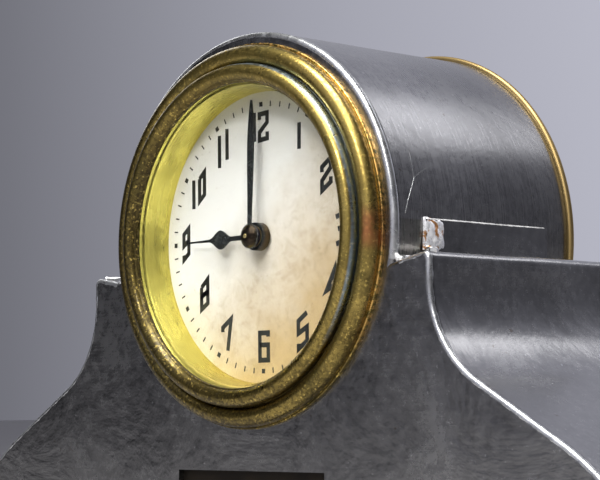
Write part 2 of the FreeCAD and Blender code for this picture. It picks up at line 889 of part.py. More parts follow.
def build_case():
    wrap = side_wrap()
    wedge = solder_wedge(wrap)
    plate, posts, screws, pads = base_pieces()
    save("front_plate", front_plate())
    save("back_plate", back_plate())
    save("side_wrap_right", wrap)
    save("side_wrap_left", mirrored(wrap))
    save("solder_fillets", wedge, mirrored(wedge))
    save("drum_shell", drum_shell())
    save("base_plinth", base_plinth())
    save("base_plate", plate)
    save("base_posts", *posts)
    save("base_screws", *screws)
    save("felt_pads", *pads)
    save("window_frame", window_frame())
    save("window_panel", window_panel())
    save("bezel", bezel())
    save("reflector_ring", reflector_ring())
    save("crystal", crystal())
    save("dial", dial())
    save("dial_feet", *dial_feet())
    save("back_cover", back_cover())
    save("mounting_straps", *[strap(a) for a in strap_angles])
    movement = [pan_screw(polar(29.5, a), 31.0, 28.7, 1.2, 0.6) for a in strap_angles]
    save("movement_screws", *movement)
    cover = []
    for a in strap_angles:
        place = polar(screw_ring, a)
        cover.append(pan_screw(place, cover_face, cover_face - 2.4, 1.5, 0.8))
    save("cover_screws", *cover)


def build_frame():
    save("movement_front_plate", movement_front_plate())
    save("movement_back_plate", movement_back_plate())
    save("pillars", *[pillar(a) for a in pillar_angles])
    save("pillar_nuts", *[pillar_nut(a) for a in pillar_angles])
    save("mainspring", mainspring())
    save("balance_screws", *balance_screws())
    save("hairspring", hairspring())
    save("regulator_index", regulator_index())


def build_train():
    save("main_arbor", main_arbor())
    save("ratchet_wheel", ratchet_wheel())
    save("winding_key", winding_key())
    save("great_wheel", great_wheel())
    save("click", click())
    save("click_rivet", click_rivet())
    save("click_spring", click_spring())
    save("centre_arbor", centre_arbor())
    save("centre_wheel", centre_wheel())
    save("centre_pinion", centre_pinion())
    save("third_arbor", arbor_with_pinion(third_at, 8, 0.42, third_phase, 9.5, 11.3))
    save("third_wheel", third_wheel())
    save("fourth_arbor", arbor_with_pinion(fourth_at, 7, 0.36, fourth_phase, 19.5, 21.2))
    save("fourth_wheel", fourth_wheel())
    save("escape_arbor", arbor_with_pinion(escape_at, 6, 0.30, escape_phase, 12.5, 14.1))
    save("escape_wheel", escape_wheel())
    save("pallet_arbor", pallet_arbor())
    save("pallet_lever", pallet_lever())
    save("pallet_pins", *pallet_pins())
    save("balance_staff", balance_staff())
    save("balance_wheel", balance_wheel())


def build_hands():
    save("cannon_pinion", cannon_pinion())
    save("minute_wheel", minute_wheel())
    save("hour_wheel", hour_wheel())
    save("hour_hand", hour_hand())
    save("hour_hand_collet", hour_hand_collet())
    save("minute_hand", minute_hand())
    save("minute_hand_collet", minute_hand_collet())
    save("hand_cap", hand_cap())
    save("set_knob", set_knob())


build_case()
build_frame()
build_train()
build_hands()
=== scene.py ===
"""Looks of a small tambour mantel clock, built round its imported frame.

Run as a script: it loads the frame, makes each visible piece and finish with
one operator per piece or group, and sets up a plain studio.
Lengths in the formulas are millimetres: (radius, depth) sections turn round the
dial axis, with depth counted back from the front plate's face.
"""
import json
import math

import bmesh
import bpy
import numpy as np
from bpy.props import FloatProperty, FloatVectorProperty, PointerProperty
from mathutils import Matrix, Vector


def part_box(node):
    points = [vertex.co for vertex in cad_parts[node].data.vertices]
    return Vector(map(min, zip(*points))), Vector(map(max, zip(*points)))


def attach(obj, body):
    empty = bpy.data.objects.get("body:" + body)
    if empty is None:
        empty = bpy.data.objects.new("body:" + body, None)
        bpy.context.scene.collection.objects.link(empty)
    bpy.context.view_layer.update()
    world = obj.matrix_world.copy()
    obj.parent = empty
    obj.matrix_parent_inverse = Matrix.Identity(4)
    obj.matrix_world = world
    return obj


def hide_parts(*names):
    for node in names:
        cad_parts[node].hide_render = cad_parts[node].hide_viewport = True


bl_info = {
    "name": "Tambour mantel clock",
    "version": (1, 0, 0),
    "blender": (4, 5, 0),
    "location": "View3D > Sidebar > Clock",
    "description": "Builds the finishes and fine surfaces of a soldered mantel clock",
    "category": "Object",
}

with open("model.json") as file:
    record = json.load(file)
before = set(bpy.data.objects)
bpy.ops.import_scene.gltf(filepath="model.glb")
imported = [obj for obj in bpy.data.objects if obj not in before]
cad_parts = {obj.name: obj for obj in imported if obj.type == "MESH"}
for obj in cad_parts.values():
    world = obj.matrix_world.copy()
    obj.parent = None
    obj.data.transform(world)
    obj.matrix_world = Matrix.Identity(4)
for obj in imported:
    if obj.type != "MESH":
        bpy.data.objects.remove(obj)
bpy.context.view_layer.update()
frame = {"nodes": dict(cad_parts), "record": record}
JOINTS = {j["name"]: j for j in frame["record"]["behaviour"]["joints"]}
DIAL_AXIS = Vector(JOINTS["minute_hand_turn"]["pos_m"])
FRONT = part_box("front_plate")[0].y
DEEP = (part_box("back_plate")[1].y - FRONT) * 1000
DRUM = (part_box("drum_shell")[1].z - DIAL_AXIS.z) * 1000
DRUM_END = (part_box("drum_shell")[1].y - FRONT) * 1000
DIAL_FACE = (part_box("dial")[0].y - FRONT) * 1000
HAND_FACE = (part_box("minute_hand")[0].y - FRONT) * 1000
MM = 0.001

# The case's outline to the right of the drum, (x, z) in millimetres about the dial.
JOINT_Z = -6.64
SHOULDER_MIDDLE, SHOULDER = (39.6, -5.97), (42.7, -5.35)
TIP_ROUND = 1.4
NECK_X, NECK_TOP, NECK_Z = 44.1, -8.4, -10.0
FLARE_RADIUS, FLARE_TURN = 19.0, math.radians(60)
SLOPE_MIDDLE = (62.0, -31.3)
SLOPE_END_X, FOOT_X = 70.0, 92.7
WRAP_SHEET, FLANGE_LOW, FLANGE_HIGH = 0.8, -7.3, 0.7

# The camera: its place from the dial's centre in metres, bearing, rise and roll.
CAMERA_FROM_DIAL = Vector((0.2606, -0.23429, -0.03026))
CAMERA_BEARING, CAMERA_RISE, CAMERA_ROLL = math.radians(46.49), math.radians(4.80), -0.0116


# ------------------------------------------------------------ surfaces


def to_frame(x, depth, z):
    """Millimetres about the dial axis, as an array of points in the frame."""
    x, depth, z = np.broadcast_arrays(x, depth, z)
    return np.stack([x * MM, FRONT + depth * MM, DIAL_AXIS.z + z * MM], -1)


def grid_faces(rows, cols, round_rows=False, round_cols=False):
    """Four-cornered faces of a grid; a round direction joins its last to its first."""
    r = np.arange(rows if round_rows else rows - 1)
    c = np.arange(cols if round_cols else cols - 1)
    r, c = np.meshgrid(r, c, indexing="ij")
    down, side = (r + 1) % rows, (c + 1) % cols
    corners = [r * cols + c, r * cols + side, down * cols + side, down * cols + c]
    return np.stack(corners, -1).reshape(-1, 4)


def tube_faces(rows, cols):
    """Faces of a grid that is round across its columns, with a face over each end."""
    ends = [list(range(cols)), list(range((rows - 1) * cols, rows * cols))]
    return grid_faces(rows, cols, False, True).tolist() + ends


def piece(name, parts, body, material, stands_for=(), crease=40):
    """One mesh object from (points, faces) parts, riding on a body.

    Normals are turned outwards and edges sharper than the crease angle stay sharp.
    """
    points, faces, base = [], [], 0
    for pts, quads in parts:
        pts = np.asarray(pts, float).reshape(-1, 3)
        points.append(pts)
        if isinstance(quads, np.ndarray):
            faces += (quads + base).tolist()
        else:
            faces += [[corner + base for corner in face] for face in quads]
        base += len(pts)
    mesh = bpy.data.meshes.new(name)
    mesh.from_pydata(np.concatenate(points).tolist(), [], faces)
    work = bmesh.new()
    work.from_mesh(mesh)
    bmesh.ops.remove_doubles(work, verts=work.verts, dist=2e-7)
    bmesh.ops.recalc_face_normals(work, faces=work.faces)
    work.to_mesh(mesh)
    work.free()
    mesh.polygons.foreach_set("use_smooth", np.ones(len(mesh.polygons), bool))
    mesh.set_sharp_from_angle(angle=math.radians(crease))
    mesh.update()
    mesh.validate()
    item = bpy.data.objects.new(name, mesh)
    bpy.context.collection.objects.link(item)
    item.data.materials.append(material)
    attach(item, body)
    if stands_for:
        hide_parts(*stands_for)
    return item


def arc(start, middle, end, count=14):
    """Points of the circle through three points, ends included, evenly by angle."""
    (ax, ay), (bx, by), (cx, cy) = start, middle, end
    d = 2 * (ax * (by - cy) + bx * (cy - ay) + cx * (ay - by))
    sa, sb, sc = ax * ax + ay * ay, bx * bx + by * by, cx * cx + cy * cy
    ox = (sa * (by - cy) + sb * (cy - ay) + sc * (ay - by)) / d
    oy = (sa * (cx - bx) + sb * (ax - cx) + sc * (bx - ax)) / d
    radius = math.hypot(ax - ox, ay - oy)
    angles = [math.atan2(q[1] - oy, q[0] - ox) for q in (start, middle, end)]
    turn = (angles[2] - angles[0]) % (2 * math.pi)
    if (angles[1] - angles[0]) % (2 * math.pi) > turn:
        turn -= 2 * math.pi
    t = angles[0] + turn * np.linspace(0, 1, count)
    return np.stack([ox + radius * np.cos(t), oy + radius * np.sin(t)], -1)


def chain(*runs):
    """Joins points and arcs into one path, dropping repeated points."""
    path = np.concatenate([np.atleast_2d(np.asarray(r, float)) for r in runs])
    keep = np.ones(len(path), bool)
    keep[1:] = np.hypot(*(path[1:] - path[:-1]).T) > 1e-6
    return path[keep]


def ripple(angle, depth, size, seed=0.0):
    """Hand-worked unevenness: three slow waves of angle and depth, times size."""
    return size * (np.sin(3 * angle + 0.11 * depth + seed)
                   + 0.6 * np.sin(7 * angle - 0.17 * depth + 2.1 * seed)
                   + 0.4 * np.sin(13 * angle + 0.31 * depth + 0.7 * seed))


def turned(section, segments=256, uneven=0.0, seed=0.0):
    """Surface of revolution: radius and depth from the section, angle all round.

    x = r sin a, z = r cos a, with r moved by the ripple of a and depth.
    """
    a = np.linspace(0, 2 * math.pi, segments, endpoint=False)[:, None]
    r, d = section[:, 0][None, :], section[:, 1][None, :]
    r = r + ripple(a, d, uneven, seed) * (r > 1e-6)
    points = to_frame(r * np.sin(a), d, r * np.cos(a))
    return points, grid_faces(segments, len(section), True, True)


def drawn(outline, depths, uneven=0.0, seed=0.0):
    """A closed outline of (x, z) points carried back through the depths.

    Each point moves along its own normal by the ripple of its place and depth; the
    two ends are closed by one face each.
    """
    step = np.roll(outline, -1, 0) - np.roll(outline, 1, 0)
    normal = np.stack([step[:, 1], -step[:, 0]], -1)
    normal /= np.linalg.norm(normal, axis=1)[:, None] + 1e-9
    depths = np.asarray(depths, float)[:, None]
    place = (outline[:, 0] * 0.05 + outline[:, 1] * 0.03)[None, :]
    fade = np.sin(np.linspace(0, math.pi, len(depths)))[:, None] ** 0.5
    push = ripple(place, depths, uneven, seed) * fade
    x = outline[:, 0][None, :] + push * normal[:, 0][None, :]
    z = outline[:, 1][None, :] + push * normal[:, 1][None, :]
    points = to_frame(x, depths + 0 * x, z)
    return points, tube_faces(len(depths), len(outline))


def bead(path, radius, sides=12, uneven=0.0, seed=0.0):
    """A round bead along a path of (x, depth, z) points, its radius gently uneven.

    The ring at each point is n cos t + b sin t times the radius, where n and b are
    square to the path's tangent.
    """
    path = np.asarray(path, float)
    tangent = np.gradient(path, axis=0)
    tangent /= np.linalg.norm(tangent, axis=1)[:, None]
    across = abs(tangent[:, 1]).mean() < 0.8
    guide = np.array([0.0, 1.0, 0.0] if across else [0.0, 0.0, 1.0])
    n = np.cross(tangent, guide)
    n /= np.linalg.norm(n, axis=1)[:, None]
    b = np.cross(tangent, n)
    t = np.linspace(0, 2 * math.pi, sides, endpoint=False)
    run = np.arange(len(path)) * 1.0
    size = np.broadcast_to(np.asarray(radius, float), run.shape).copy()
    size = size * (1 + uneven * (np.sin(run * 0.9 + seed) + 0.7 * np.sin(run * 2.3 + 3 * seed)
                                 + 0.5 * np.sin(run * 0.31 + seed)))
    ring = (n[:, None, :] * np.cos(t)[None, :, None] + b[:, None, :] * np.sin(t)[None, :, None])
    pts = path[:, None, :] + ring * size[:, None, None]
    points = to_frame(pts[..., 0], pts[..., 1], pts[..., 2])
    return points, tube_faces(len(path), sides)


def stroke(path, width, face, thick=0.04):
    """A printed stroke: a flat band of the given width along a mitred path.

    At each corner the two edges meet on the bisector, at half the width divided by
    the cosine of half the turn; the band stands proud of the dial by its thickness.
    """
    p = np.asarray(path, float)
    d = np.diff(p, axis=0)
    d /= np.linalg.norm(d, axis=1)[:, None]
    side = np.stack([-d[:, 1], d[:, 0]], -1)
    before, after = np.vstack([side[:1], side]), np.vstack([side, side[-1:]])
    mitre = before + after
    mitre /= (mitre * before).sum(1)[:, None]
    left, right = p + mitre * width / 2, p - mitre * width / 2
    ring = np.stack([left, right, right, left], 1)
    depth = np.array([face - thick, face - thick, face + 0.01, face + 0.01])[None, :]
    points = to_frame(ring[..., 0], depth, ring[..., 1])
    return points, tube_faces(len(p), 4)


# ------------------------------------------------------------ finishes


class Nodes:
    """Short ways to add nodes to a tree."""

    def __init__(self, tree):
        self.tree = tree

    def add(self, kind, inputs=(), **settings):
        node = self.tree.nodes.new(kind)
        for key, value in settings.items():
            setattr(node, key, value)
        for key, value in dict(inputs).items():
            self.put(node.inputs[key], value)
        return node

    def put(self, socket, value):
        if isinstance(value, bpy.types.NodeSocket):
            self.tree.links.new(value, socket)
        else:
            socket.default_value = value

    def math(self, operation, *values):
        node = self.add("ShaderNodeMath", operation=operation)
        for socket, value in zip(node.inputs, values):
            self.put(socket, value)
        return node.outputs[0]

    def times(self, first, *others):
        """The product of all its values."""
        for value in others:
            first = self.math("MULTIPLY", first, value)
        return first

    def share(self, value, scale):
        """A value scaled about one half, ready for a ramp."""
        return self.math("MULTIPLY_ADD", value, scale, 0.5)

    def ramp(self, factor, *stops):
        node = self.add("ShaderNodeValToRGB", {"Fac": factor})
        ends = node.color_ramp.elements
        while len(ends) < len(stops):
            ends.new(0.5)
        for element, (where, colour) in zip(ends, stops):
            element.position = where
            element.color = rgba((colour,) * 3 if isinstance(colour, (int, float)) else colour)
        return node.outputs["Color"]

    def mix(self, factor, first, second, blend="MIX"):
        node = self.add("ShaderNodeMix", data_type="RGBA", blend_type=blend)
        self.put(node.inputs[0], factor)
        for socket, value in ((node.inputs[6], first), (node.inputs[7], second)):
            self.put(socket, value if isinstance(value, bpy.types.NodeSocket) else rgba(value))
        return node.outputs[2]


class Finish(Nodes):
    """A node material under construction, on the object's own coordinates."""

    def __init__(self, name, **sockets):
        self.material = bpy.data.materials.new(name)
        self.material.use_nodes = True
        super().__init__(self.material.node_tree)
        self.shader = self.tree.nodes["Principled BSDF"]
        for key, value in sockets.items():
            self.socket(key).default_value = value
        self.place = self.add("ShaderNodeTexCoord").outputs["Object"]

    def socket(self, key):
        """The shader's socket for a name such as specular_ior_level."""
        return self.shader.inputs[key.replace("_", " ").title().replace("Ior", "IOR")]

    def shift(self, location=(0, 0, 0), scale=(1, 1, 1)):
        """The object's coordinates, scaled and then moved."""
        node = self.add("ShaderNodeMapping", {"Vector": self.place,
                        "Location": location, "Scale": scale})
        return node.outputs[0]

    def noise(self, size, detail=4.0, rough=0.55, of=None, lump=0.0):
        """Noise whose patches are about size millimetres across."""
        node = self.add("ShaderNodeTexNoise", {"Vector": of or self.place,
                        "Scale": 1000.0 / size, "Detail": detail, "Roughness": rough,
                        "Distortion": lump})
        return node.outputs["Fac"]

    def about_axis(self):
        """Radius, angle, depth, x and z about the dial axis, lengths in millimetres."""
        parts = self.add("ShaderNodeSeparateXYZ", {"Vector": self.place})
        x, y, z = (self.times(self.math("SUBTRACT", out, start), 1000.0)
                   for out, start in zip(parts.outputs, (0.0, FRONT, DIAL_AXIS.z)))
        r = self.math("SQRT", self.math("ADD", self.times(x, x), self.times(z, z)))
        return r, self.math("ARCTAN2", z, x), y, x, z

    def joined(self, x, y, z):
        return self.add("ShaderNodeCombineXYZ", {0: x, 1: y, 2: z}).outputs[0]

    def bump(self, height, depth_mm, strength=1.0, under=None):
        node = self.add("ShaderNodeBump", {"Height": height, "Distance": depth_mm * MM,
                        "Strength": strength})
        if under is not None:
            self.put(node.inputs["Normal"], under)
        return node.outputs[0]

    def done(self, colour=None, roughness=None, normal=None, **more):
        for key, value in (("Base Color", colour), ("Roughness", roughness), ("Normal", normal)):
            if value is not None:
                self.put(self.shader.inputs[key], value)
        for key, value in more.items():
            self.put(self.socket(key), value)
        return self.material


def rgba(colour):
    return tuple(colour)[:3] + (1.0,)


def tint(colour, factor):
    return tuple(min(1.0, c * factor) for c in tuple(colour)[:3])


def tin_finish(name, colour, brushing, round_axis=False):
    """Tinned sheet: fine brushing one way, dull tarnish clouds, pits and bright specks.

    The brushing is in streaks a millimetre along each axis; round the dial axis it
    runs with the angle, the skin is painted darker towards the rear as painted shade,
    and a flux stain sits where the flange is soldered on.
    """
    f = Finish(name, metallic=1.0)
    combed = 0.18 if round_axis else 0.04
    if round_axis:
        angle, depth, _, z = f.about_axis()[1:]
        fine = f.joined(f.times(angle, 0.5), depth, 0.0)
        brush = f.noise(1000.0 / 3.6, 6.0, 0.78, of=fine)
        streak = f.noise(1000.0 / 0.8, 5.0, 0.75, of=f.joined(
            f.times(angle, 2.2), f.times(depth, 0.9), 0.0))
    else:
        brush = f.noise(1.0, 6.0, 0.78, of=f.shift(scale=brushing))
        streak = f.noise(1.0, 5.0, 0.7, of=f.shift(scale=tuple(0.22 * b + 0.02 for b in brushing)))
    cloud = f.noise(24.0, 5.0, 0.6, lump=0.6)
    mottle = f.noise(1.7, 5.0, 0.7)
    spot = f.noise(1.5, 3.0, 0.5)
    speck = f.noise(0.55, 2.0, 0.5)
    base = f.mix(f.ramp(cloud, (0.34, 0.0), (0.68, 1.0)), tint(colour, 0.86), tint(colour, 1.12))
    base = f.mix(f.ramp(brush, (0.40, 0.0), (0.70, 2.4 * combed)), base, tint(colour, 1.45))
    base = f.mix(f.ramp(mottle, (0.40, 0.28), (0.62, 0.0)), base, tint(colour, 0.55))
    base = f.mix(f.ramp(spot, (0.72, 0.0), (0.77, 0.7)), base, (0.12, 0.085, 0.06))
    base = f.mix(f.ramp(speck, (0.715, 0.0), (0.76, 0.8)), base, (0.75, 0.75, 0.75))
    rough = f.math("ADD", f.times(f.ramp(brush, (0.35, 0.0), (0.7, 1.0)), combed),
                   f.times(cloud, 0.24))
    rough = f.math("ADD", rough, f.times(mottle, 0.22))
    if round_axis:
        # Painted shade: the drum's colour darkens towards the rear, where its highlight fades.
        rear = f.ramp(f.times(depth, 0.02), (0.32, 0.0), (0.60, 0.45))
        base = f.mix(rear, base, tint(colour, 0.35))
        low = f.ramp(f.share(z, 0.05), (0.520, 1.0), (0.532, 0.0))
        near = f.ramp(f.times(depth, 0.05), (0.07, 0.0), (0.10, 1.0), (0.33, 1.0), (0.38, 0.15))
        stain = f.times(low, near, 0.50)
        base = f.mix(stain, base, f.mix(f.ramp(f.noise(3.0, 4.0, 0.6), (0.40, 0.0), (0.62, 1.0)),
                                        (0.17, 0.145, 0.115), (0.18, 0.19, 0.14)))
    normal = f.bump(brush, 0.07 * combed, 0.5)
    normal = f.bump(streak, 0.15 * combed, 0.4, normal)
    normal = f.bump(mottle, 0.02, 0.4, normal)
    normal = f.bump(cloud, 0.9, 0.3, normal)
    return f.done(base, rough, normal)


def solder_finish(name, colour, depth_mm=0.10, rusty=0.85, metallic=1.0):
    """Bright cast solder: gently lumpy, silver, with dull dips and rust stains."""
    f = Finish(name, metallic=metallic)
    lump = f.noise(1.8, 4.0, 0.6, lump=0.5)
    dull = f.noise(6.0, 4.0, 0.6)
    base = f.mix(f.ramp(dull, (0.42, 0.0), (0.70, 1.0)), colour, tint(colour, 0.62))
    if rusty:
        rust = f.ramp(f.noise(2.2, 3.0, 0.55, lump=1.0), (0.54, 0.0), (0.60, 1.0))
        base = f.mix(f.times(rust, rusty), base, (0.45, 0.19, 0.04))
    rough = f.ramp(lump, (0.3, 0.20), (0.7, 0.40))
    return f.done(base, rough, f.bump(lump, depth_mm, 0.8))


def aged_brass(name, bright, brown):
    """Spun brass gone brown under old lacquer: gold crests and speckled tarnish.

    The lower left is painted darker as painted shade, and the dark speckle, which is real
    tarnish, is painted thicker there than at the upper right, also as painted shade. A blue
    line lies in the groove, orange flakes at the flange edge and a copper patch at
    three o'clock.
    """
    f = Finish(name, metallic=1.0, coat_weight=0.15, coat_roughness=0.15)
    r, angle = f.about_axis()[:2]
    cloud = f.noise(9.0, 5.0, 0.65, lump=0.8)
    grit = f.noise(0.62, 4.0, 0.68)
    green = f.noise(14.0, 3.0, 0.5)
    tarnish = f.mix(f.ramp(green, (0.40, 0.0), (0.62, 1.0)), brown, (0.105, 0.10, 0.035))
    worn = f.ramp(cloud, (0.30, 1.0), (0.74, 0.0))
    base = f.mix(worn, tarnish, bright)
    share = f.times(r, 0.02)
    hollow = f.ramp(share, (0.540, 0.9), (0.552, 0.55), (0.572, 0.0), (0.598, 0.05),
                    (0.6045, 0.45), (0.6085, 0.45), (0.616, 0.0), (0.648, 0.0),
                    (0.672, 0.35), (0.684, 0.6))
    base = f.mix(f.times(hollow, 0.85), base, (0.045, 0.032, 0.016))
    # Painted shade: behind is 0 at the upper right and 1 at the lower left, away from the lamps.
    behind = f.share(f.math("COSINE", f.math("SUBTRACT", angle, 0.6)), -0.5)
    base = f.mix(f.times(behind, 0.70), base, (0.050, 0.038, 0.010))
    flecks = f.ramp(grit, (0.48, 0.0), (0.55, 1.0))
    # Real dark speckle, made thicker towards the lower left as painted shade.
    dark = f.times(flecks, f.math("MULTIPLY_ADD", behind, 0.7, 0.2), 0.9)
    base = f.mix(dark, base, (0.030, 0.022, 0.010))
    gold = f.ramp(f.noise(0.55, 2.0, 0.5, of=f.shift(location=(3, 1, 2))), (0.60, 0.0), (0.68, 1.0))
    base = f.mix(f.times(gold, 0.55), base, tint(bright, 1.25))
    bearing = f.share(angle, 0.25 / math.pi)
    beside = f.ramp(bearing, (0.44, 0.0), (0.47, 1.0), (0.62, 1.0), (0.635, 0.0))
    line = f.ramp(share, (0.604, 0.0), (0.6065, 1.0), (0.6085, 1.0), (0.611, 0.0))
    base = f.mix(f.times(beside, line, 0.75), base, (0.25, 0.42, 0.60))
    edge = f.ramp(share, (0.6785, 0.0), (0.6805, 1.0), (0.690, 1.0))
    flake = f.ramp(f.noise(0.9, 3.0, 0.6), (0.44, 0.0), (0.52, 1.0))
    base = f.mix(f.times(edge, flake, beside), base, (0.66, 0.40, 0.12))
    patch = f.ramp(bearing, (0.488, 0.0), (0.494, 1.0), (0.502, 1.0), (0.508, 0.0))
    outside = f.ramp(share, (0.630, 0.0), (0.645, 1.0))
    copper = f.times(patch, outside, f.ramp(cloud, (0.35, 0.3), (0.55, 0.8)))
    base = f.mix(copper, base, (0.40, 0.15, 0.06))
    rough = f.math("ADD", f.ramp(cloud, (0.3, 0.20), (0.8, 0.48)), f.times(flecks, 0.14))
    normal = f.bump(grit, 0.03, 0.6)
    normal = f.bump(cloud, 0.10, 0.4, normal)
    return f.done(base, rough, normal)


def clean_brass(name, colour, rough_low=0.16, rough_high=0.34, dull=()):
    """Clean brass with fine turning lines round the axis and faint dull patches.

    The dull stops are painted shade: they darken the brass by angle, from nine o'clock
    by way of six, as shares of a turn.
    """
    f = Finish(name, metallic=1.0)
    r, angle, depth = f.about_axis()[:3]
    turning = f.noise(1000.0 / 2.4, 4.0, 0.7, of=f.joined(f.times(angle, 0.15), depth, r))
    cloud = f.noise(7.0, 4.0, 0.6, lump=0.4)
    base = f.mix(f.ramp(cloud, (0.38, 0.0), (0.72, 1.0)), colour, tint(colour, 0.72))
    base = f.mix(f.times(turning, 0.25), base, tint(colour, 1.3))
    # Painted shade: the dull stops darken the brass by angle round the axis.
    if dull:
        base = f.mix(f.ramp(f.share(angle, 0.5 / math.pi), *dull), base, tint(colour, 0.12))
    rough = f.ramp(f.math("ADD", f.times(turning, 0.5), f.times(cloud, 0.5)),
                   (0.35, rough_low), (0.70, rough_high))
    return f.done(base, rough, f.bump(turning, 0.012, 0.6))


def dial_finish(name, top, low):
    """Old ivory enamel: clean above, warm and mottled below, with faint foxing."""
    f = Finish(name, metallic=0.0)
    r, _, _, x, z = f.about_axis()
    wave = f.times(f.math("SUBTRACT", f.noise(9.0, 4.0, 0.6), 0.5), 16.0)
    slope = f.math("ADD", f.times(z, 0.80), f.times(x, -0.60))
    fall = f.math("ADD", f.times(f.math("ADD", slope, wave), 0.0175), 0.5)
    base = f.mix(f.ramp(fall, (0.18, 0.0), (0.66, 1.0)), low, top)
    blotch = f.noise(2.6, 5.0, 0.7, lump=0.7)
    stain = f.times(f.ramp(blotch, (0.46, 0.0), (0.70, 1.0)),
                    f.ramp(fall, (0.30, 0.55), (0.62, 0.04)))
    base = f.mix(stain, base, tint(low, 0.70))
    edge = f.ramp(f.times(r, 0.02), (0.46, 0.0), (0.535, 0.38))
    base = f.mix(f.times(edge, f.noise(4.0, 3.0, 0.6)), base, (0.45, 0.36, 0.20))
    dust = f.ramp(f.noise(0.5, 2.0, 0.5), (0.70, 0.0), (0.74, 0.5))
    base = f.mix(dust, base, (0.25, 0.20, 0.13))
    rough = f.ramp(blotch, (0.3, 0.34), (0.7, 0.52))
    return f.done(base, rough, f.bump(blotch, 0.01, 0.5), specular_ior_level=0.4)


def paint_finish(name, colour, rough=0.3, wear=(0.2, 0.17, 0.12), shine=0.5):
    """Black lacquer with dust in its grain and tiny chips."""
    f = Finish(name, metallic=0.0)
    grain = f.noise(0.5, 3.0, 0.6)
    cloud = f.noise(4.0, 4.0, 0.6)
    base = f.mix(f.ramp(cloud, (0.4, 0.0), (0.75, 1.0)), colour, tint(colour, 2.2))
    base = f.mix(f.ramp(grain, (0.68, 0.0), (0.74, 0.6)), base, wear)
    return f.done(base, f.ramp(cloud, (0.3, rough * 0.7), (0.7, rough * 1.5)),
                  f.bump(grain, 0.008, 0.5), specular_ior_level=shine)


def steel_finish(name, colour, rough=0.28):
    """Turned or rolled steel with fine grain and a few brown spots."""
    f = Finish(name, metallic=1.0)
    grain = f.noise(0.35, 5.0, 0.7, of=f.shift(scale=(1.0, 0.15, 1.0)))
    cloud = f.noise(5.0, 4.0, 0.6)
    base = f.mix(f.ramp(cloud, (0.35, 0.0), (0.7, 1.0)), colour, tint(colour, 0.7))
    base = f.mix(f.ramp(f.noise(1.1, 3.0, 0.5), (0.68, 0.0), (0.74, 0.7)), base, (0.22, 0.13, 0.07))
    return f.done(base, f.ramp(grain, (0.3, rough * 0.7), (0.7, rough * 1.4)),
                  f.bump(grain, 0.01, 0.5))


def felt_finish(name, colour):
    """Pressed felt: tangled fibres of two shades with a soft sheen."""
    f = Finish(name, sheen_weight=0.4)
    fibre = f.noise(0.35, 6.0, 0.8, lump=1.5)
    base = f.mix(f.ramp(fibre, (0.35, 0.0), (0.65, 1.0)), tint(colour, 0.6), tint(colour, 1.6))
    return f.done(base, f.ramp(fibre, (0.3, 0.85), (0.7, 1.0)), f.bump(fibre, 0.15, 0.9))


def glass_finish(name):
    """Flat clear glass with faint wiping marks; its seated edge doesn't show."""
    f = Finish(name, transmission_weight=1.0, ior=1.45)
    r = f.about_axis()[0]
    inside = f.ramp(f.times(r, 0.02), (0.531, 1.0), (0.533, 0.0))
    smear = f.noise(6.0, 5.0, 0.7, of=f.shift(scale=(1.0, 1.0, 0.3)))
    return f.done(None, f.ramp(smear, (0.45, 0.0), (0.75, 0.05)), alpha=inside)


def give(nodes, material):
    """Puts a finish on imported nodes, in their own material slots."""
    for name in nodes:
        item = frame["nodes"][name]
        if not item.material_slots:
            item.data.materials.append(material)
        for entry in item.material_slots:
            entry.material = material


# ------------------------------------------------------------ settings


def colour_prop(name, default, note):
    return FloatVectorProperty(name=name, description=note, subtype="COLOR",
                               size=3, min=0.0, max=2.0, default=default)


class CLOCK_PG_sizes(bpy.types.PropertyGroup):
    """Sizes of the fine surfaces, in millimetres."""

    print_width: FloatProperty(name="Numeral stroke", default=0.90, min=0.2, max=1.5,
                               description="Width of a numeral's stroke in mm")
    dot_radius: FloatProperty(name="Hour dot circle", default=24.0, min=15.0, max=26.0,
                              description="Radius of the hour dots' circle in mm")
    dent: FloatProperty(name="Unevenness", default=0.05, min=0.0, max=0.3,
                        description="Hand-worked unevenness of the sheet in mm")
    seam: FloatProperty(name="Edge bead", default=0.66, min=0.1, max=1.0,
                        description="Radius of the soldered edge beads in mm")
    lens: FloatProperty(name="Lens", default=118.57, min=20.0, max=300.0,
                        description="Camera focal length in mm")


class CLOCK_PG_colours(bpy.types.PropertyGroup):
    """Colours of the finishes."""

    tin: colour_prop("Tinned sheet", (0.330, 0.328, 0.330), "Case plates and wraps")
    drum: colour_prop("Drum", (0.330, 0.328, 0.335), "Drum shell")
    solder: colour_prop("Solder", (0.78, 0.79, 0.80), "Seams and fillets")
    bezel: colour_prop("Bezel gold", (0.56, 0.41, 0.11), "Crests of the bezel")
    bezel_brown: colour_prop("Bezel brown", (0.115, 0.080, 0.018), "Tarnished bezel")
    bright: colour_prop("Bright brass", (1.00, 0.87, 0.20), "Reflector ring")
    cover: colour_prop("Cover brass", (0.33, 0.235, 0.10), "Rear cover, knob and key")
    works: colour_prop("Movement brass", (0.76, 0.58, 0.26), "Plates and wheels")
    ivory: colour_prop("Dial top", (0.90, 0.91, 0.87), "Clean part of the dial")
    honey: colour_prop("Dial foot", (0.50, 0.38, 0.21), "Aged part of the dial")
    ink: colour_prop("Ink", (0.012, 0.014, 0.014), "Numerals and hands")
    felt: colour_prop("Felt", (0.05, 0.13, 0.08), "Base pads")
    room: colour_prop("Room", (0.94, 0.95, 1.10), "Backdrop")


# ------------------------------------------------------------ shapes of this clock


